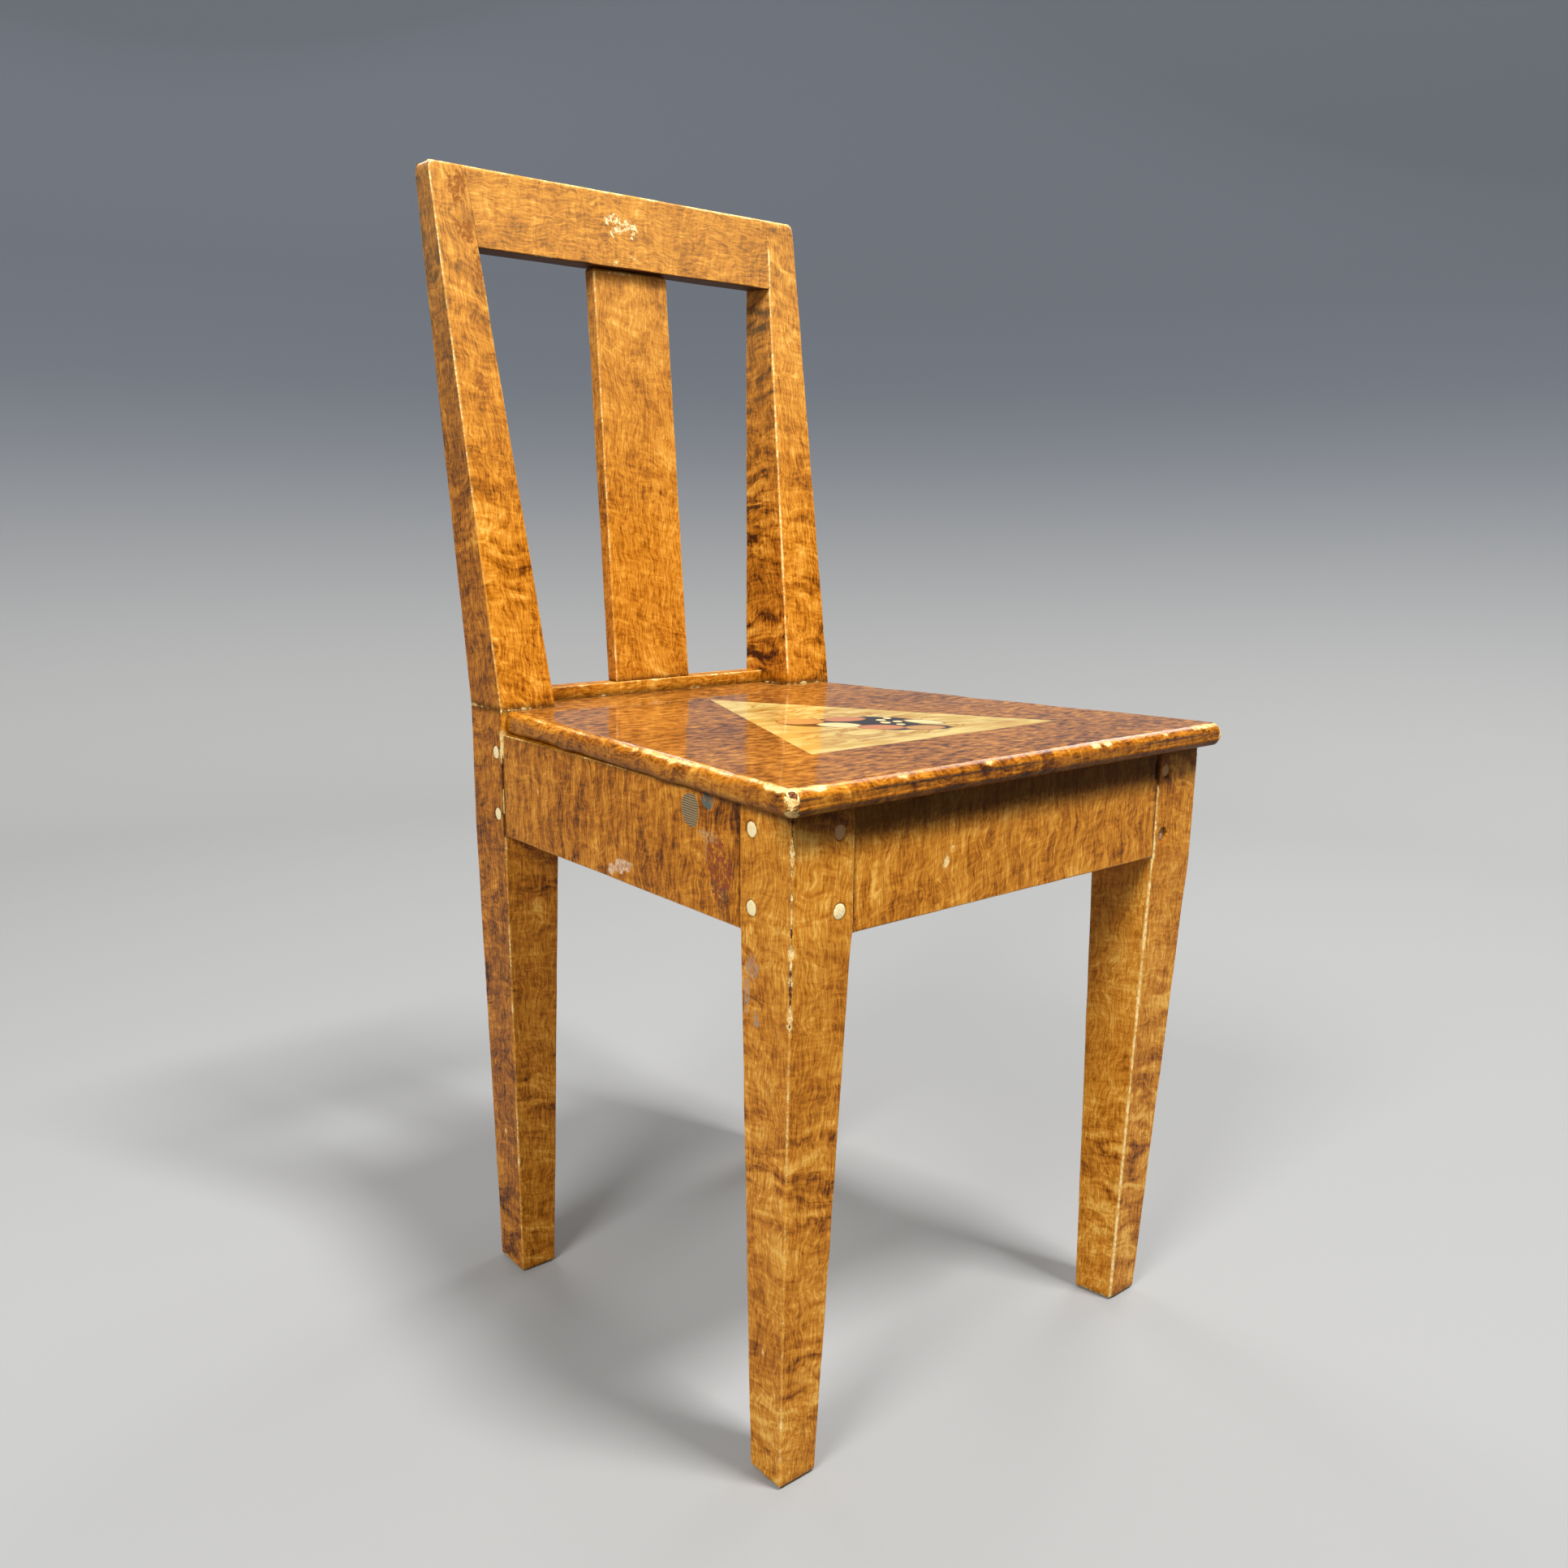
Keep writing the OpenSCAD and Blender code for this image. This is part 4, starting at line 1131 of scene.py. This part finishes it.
def oval(x, y, centre, size, turn):
    # above 0 inside the oval, in metres near its edge; the oval is turned and set about the common middle
    f = seatFinish
    c, n = math.cos(f["turn"]), math.sin(f["turn"])
    turn = turn + f["turn"]
    centre, size = [v * f["scale"] for v in centre], [v * f["scale"] for v in size]
    dx = x - (f["middle"][0] + centre[0] * c - centre[1] * n)
    dy = y - (f["middle"][1] + centre[0] * n + centre[1] * c)
    a = (dx * math.cos(turn) + dy * math.sin(turn)) / size[0]
    b = (dy * math.cos(turn) - dx * math.sin(turn)) / size[1]
    return (1 - (a * a + b * b) ** 0.5) * min(size)


def triangle(x, y):
    # the least of the distances inside its three sides
    f = seatFinish
    high = f["apex"][1] - f["baseY"]
    slant = math.hypot(f["baseHalf"], high)
    sides = [across * (high / slant) + (f["apex"][1] - y) * (f["baseHalf"] / slant)
             for across in (f["apex"][0] - x, x - f["apex"][0])]
    return sides[0].least(sides[1]).least(y - f["baseY"])


def paleField(p, place, x, y, inside):
    # the triangle's pale veined colour, with the dark field and the pebbles on it
    f = seatFinish
    pale = p.mix(p.noise(place, (24.0, 90.0, 10.0), 3.0).step(0.35, 0.65), *f["pale"])
    vein = (1 - abs(p.noise(place, (16.0, 40.0, 10.0), 3.0, 0.5, 1.6) - 0.5) * 14).clipped()
    pale = p.mix(vein * inside.step(0.008, 0.02) * 0.8, pale, f["vein"])
    ink, *others = [oval(x, y, *shape) for shape in f["fields"]]
    for other in others:
        ink = ink.most(other)
    ink = (ink + (p.noise(place, 60.0, 2.0) - 0.5) * 0.008).step(-0.0005, 0.0005)
    pale = p.mix(ink, pale, f["field"])
    for centre, size, turn, colour in f["pebbles"]:
        shape = oval(x, y, centre, size, turn) + (p.noise(place, 160.0, 1.0) - 0.5) * 0.0015
        if size[0] > f["shadedFrom"]:
            colour = p.mix(shape.step(0.0002, 0.0022), f["shade"], colour)
        pale = p.mix(shape.step(-0.0003, 0.0003), pale, colour)
    return pale


def seatPaint():
    # amber graining on the nosing; fine dark strokes across a red brown top, with the triangle on it
    p = Paint("seat_paint", Coat_Roughness=0.06, Coat_IOR=1.42, Specular_IOR_Level=0.08)
    place = p.place()
    along = p.field("along", "Vector")
    x, y, z = p.parts(place)
    edgeColour = p.ramp(grainFigure(p, along, graining["seatMiddle"], 0.0)[0], *graining["stops"])
    bent = p.vector("ADD", along, p.sway(along, 30.0, 1.0, (0.008, 0.008, 0.0)))
    stroke = p.noise(bent, (140.0, 420.0, 200.0), 3.0, 0.6) - 0.5
    dash = p.noise(bent, (90.0, 165.0, 100.0), 2.0, 0.55) - 0.5
    cloud = p.noise(along, (12.0, 20.0, 10.0), 2.0) - 0.5
    topColour = p.ramp(0.49 + stroke * 1.3 + dash * 1.7 + cloud * 0.6, *seatFinish["stops"])
    inside = triangle(x, y)
    ragged = (p.noise(place, 500.0, 2.0) - 0.5) * 0.0006
    topColour = p.mix((inside + ragged).step(-0.0003, 0.0003), topColour, paleField(p, place, x, y, inside))
    topShare = (p.field("topField") + (p.noise(place, 300.0, 2.0) - 0.5) * 1.6).step(-0.4, 0.5)
    colour = p.mix(topShare, edgeColour, topColour)
    colour, hurt, grime, height = wearLayers(p, colour, place, stroke * topShare * (0.02 * mm))
    return p.finish(
        Base_Color=colour,
        Roughness=0.36 + hurt * 0.35 + grime * 0.2,
        Coat_Weight=(1 - hurt) * (1 - grime) * (0.30 + topShare * 0.36),
        Normal=p.bump(height))


seat.finish(seatPaint(), "seat_paint")
print("seat shaped")


pegLook = {
    "steps": 40,
    "profile": [(0.30, 0.0), (0.6, 0.05), (0.85, 0.16), (0.95, 0.30), (1.0, 0.6), (1.0, 6)],
    "share": 0.99,                       # of its CAD radius, less waves round it: how many, and how deep
    "waves": [(3, 0.02), (5, 0.015)],
    # each set's seed, how far its pegs have sunk in mm, and how brown they have gone, from 0 to 1
    "sets": {
        # the two high pegs' browning is stain and partly painted shade under the seat's overhang
        "front_apron_pegs": (31, sunkPegs, {"left high": 1.0, "left low": 0.3,
                                            "right low": 0.7, "right high": 0.8}),
        "left_apron_pegs": (32, {}, {}),
        "right_apron_pegs": (33, {}, {"right high": 0.3}),
        "back_rail_pegs": (34, {}, {"left low": 0.3, "right low": 0.5}),
    },
}


def pegPaint():
    # pale end grain with dark pores, brown stains and a dirty rim
    p = Paint("peg_wood", Coat_Weight=0.1, Specular_IOR_Level=0.35)
    place = p.place()
    grey = p.noise(place, 700.0, 3.0, 0.7)
    colour = p.mix(grey.step(0.40, 0.66), srgb(255, 240, 190), srgb(244, 218, 158))
    colour = p.mix(p.noise(place, 1100.0, 2.0).step(0.64, 0.72) * 0.6, colour, srgb(150, 100, 50))
    stain = (p.field("stain") + (p.noise(place, 500.0, 3.0, 0.7) - 0.5) * 1.6).step(0.3, 0.7)
    colour = p.mix(stain * 0.85, colour, srgb(158, 100, 46))
    rim = (p.field("rim") + (p.noise(place, 600.0, 2.0) - 0.5) * 0.35).step(0.93, 1.1)
    colour = p.mix(rim, colour, srgb(96, 56, 22))
    return p.finish(Base_Color=colour, Roughness=0.62, Normal=p.bump(grey * (0.12 * mm)))


def pegPiece(node, seed, sunk, stain, material):
    # Each peg is turned from a profile of (share of radius, depth): a low dome, a soft rim, a straight
    # side and a flat inner end. Its outline wanders a little from a circle.
    draw = np.random.default_rng(seed)
    steps = pegLook["steps"]
    turn = np.linspace(0, 2 * math.pi, steps, endpoint=False)
    up = np.array([0, 0, 1.0])
    points, faces, rims, stains, start = [], [], [], [], 0
    for peg in pegTips(node):
        deep = sunk.get(peg["word"], 0.0) * mm
        axis, length = peg["axis"], peg["length"]
        rings = pegLook["profile"] + [(1.0, length / mm - 2)]
        wander = pegLook["share"]
        for waves, deepness in pegLook["waves"]:
            wander = wander - deepness * np.sin(turn * waves + draw.uniform(0, 6))
        circle = np.cos(turn)[:, None] * np.cross(up, axis) + np.sin(turn)[:, None] * up
        circle = circle * (peg["radius"] * wander)[:, None]
        tip = peg["tip"] - axis * (deep + 0.04 * mm)
        shell = [tip + circle * share - axis * depth * mm for share, depth in rings]
        shell = [tip[None], *shell, (tip - axis * (length - deep - 1.4 * mm))[None]]
        points += shell
        rims += [0] + [share if depth < 0.5 else 1.2 for share, depth in rings for _ in turn] + [1.2]
        stains += [stain.get(peg["word"], 0.0)] * (len(rings) * steps + 2)
        index = start + 1 + np.arange(len(rings) * steps).reshape(len(rings), steps)
        onward = np.roll(index, -1, 1)
        last = start + 1 + len(rings) * steps
        faces += np.stack([np.full(steps, start), index[0], onward[0]], 1).tolist()
        faces += strips(index, onward).tolist()
        faces += np.stack([index[-1], np.full(steps, last), onward[-1]], 1).tolist()
        start = last + 1
    makePiece(node, np.concatenate(points), faces, material, {"rim": rims, "stain": stains})


pegMaterial = pegPaint()
for node, look in pegLook["sets"].items():
    pegPiece(node, *look, pegMaterial)
print("pegs turned")


# The corner blocks and screws keep their CAD shape and get finishes of their own.
def blockPaint():
    # softwood: rings across, and dark patches
    p = Paint("block_wood", Specular_IOR_Level=0.3)
    place = p.place()
    rings = p.noise(place, (40.0, 40.0, 420.0), 3.0, 0.6, 0.4)
    colour = p.ramp(rings, (0.3, srgb(150, 112, 66)), (0.5, srgb(196, 158, 106)), (0.7, srgb(222, 190, 140)))
    colour = p.mix(p.noise(place, 45.0, 3.0).step(0.5, 0.75) * 0.5, colour, srgb(110, 78, 46))
    return p.finish(Base_Color=colour, Roughness=0.7, Normal=p.bump(rings * (0.3 * mm)))


def screwPaint():
    # dull steel with brown specks
    p = Paint("screw_steel", Metallic=1.0)
    spots = p.noise(p.place(), 900.0, 3.0, 0.6)
    colour = p.mix(spots.step(0.5, 0.65), srgb(150, 148, 144), srgb(104, 74, 52))
    return p.finish(Base_Color=colour, Roughness=0.35 + spots * 0.4)


blockMaterial, screwMaterial = blockPaint(), screwPaint()
for node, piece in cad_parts.items():
    if node.startswith("corner_block") or node == "seat_screws":
        piece.data.materials.clear()
        piece.data.materials.append(screwMaterial if node == "seat_screws" else blockMaterial)


stage = {
    "middle": 0.05, "reach": 3.2, "bend": 1.2, "wall": 3.4,     # radii and height in metres
    "flatRings": 12, "bendRings": 24, "steps": 96,
    "floorColour": srgb(154, 154, 153),
    "wallColour": srgb(98, 103, 111),
    "bounceColour": srgb(112, 110, 106),     # what it throws back on the chair
}


def makeStage(s):
    # A bowl: a flat floor, a quarter circle and a straight wall, turned about the upright axis.
    flat, steps = s["reach"] - s["bend"], s["steps"]
    bend = np.linspace(0, math.pi / 2, s["bendRings"] + 1)[1:]
    radii = np.concatenate([np.linspace(s["middle"], flat, s["flatRings"]),
                            flat + s["bend"] * np.sin(bend), [s["reach"]]])
    heights = np.concatenate([np.zeros(s["flatRings"]), s["bend"] * (1 - np.cos(bend)), [s["wall"]]])
    turn = np.linspace(0, 2 * math.pi, steps, endpoint=False)
    rings = np.stack([radii[:, None] * np.cos(turn), radii[:, None] * np.sin(turn),
                      np.repeat(heights[:, None], steps, 1)], -1)
    index = 1 + np.arange(len(radii) * steps).reshape(len(radii), steps)
    onward = np.roll(index, -1, 1)
    faces = np.stack([np.zeros(steps, int), index[0], onward[0]], 1).tolist() + strips(index, onward).tolist()
    data = meshOf("floor", [(0, 0, 0)] + rings.reshape(-1, 3).tolist(), faces)
    data.update()
    floor = addThing("floor", data)
    p = Paint("stage_paint", Roughness=0.85, Specular_IOR_Level=0.2)
    height = p.parts(p.place())[2]
    seen = p.mix(height.step(0.05, 1.0), s["floorColour"], s["wallColour"])
    # seen straight or in a reflection the stage is pale, but it throws little light back on the chair
    camera, glossy, through = [p.node("ShaderNodeLightPath", {}, {}, f"Is {ray} Ray")
                               for ray in ("Camera", "Glossy", "Transmission")]
    direct = camera.most(glossy).most(through)
    data.materials.append(p.finish(Base_Color=p.mix(direct, s["bounceColour"], seen)))


makeStage(stage)

# each lamp is a square: place, aim, width in metres and watts
lamps = {
    "key": ((0.45, -2.35, 5.40), (0, 0, 0.35), 1.1, 372),
    "left": ((-2.30, -0.85, 2.10), (0, 0, 0.25), 0.9, 72),
    "right": ((2.4, 0.35, 2.35), (0, 0, 0.40), 1.4, 40),
    "behind": ((0.5, 2.5, 2.5), (0, 0, 0.45), 1.4, 30),
}
for name, (place, aim, width, power) in lamps.items():
    data = bpy.data.lights.new(name, "AREA")
    data.size = width
    data.energy = power
    away = unit(np.array(place) - np.array(aim))
    right = unit(np.cross([0, 0, 1.0], away))
    addThing(name, data, (right, np.cross(away, right), away), place)

sky = {"colour": (0.92, 0.95, 1.0, 1), "level": 0.20}
world = bpy.data.worlds.new("world")
world.use_nodes = True
background = world.node_tree.nodes["Background"].inputs
background[0].default_value = sky["colour"]
background[1].default_value = sky["level"]
bpy.context.scene.world = world
bpy.context.scene.view_settings.view_transform = "Standard"
print("stage lit")
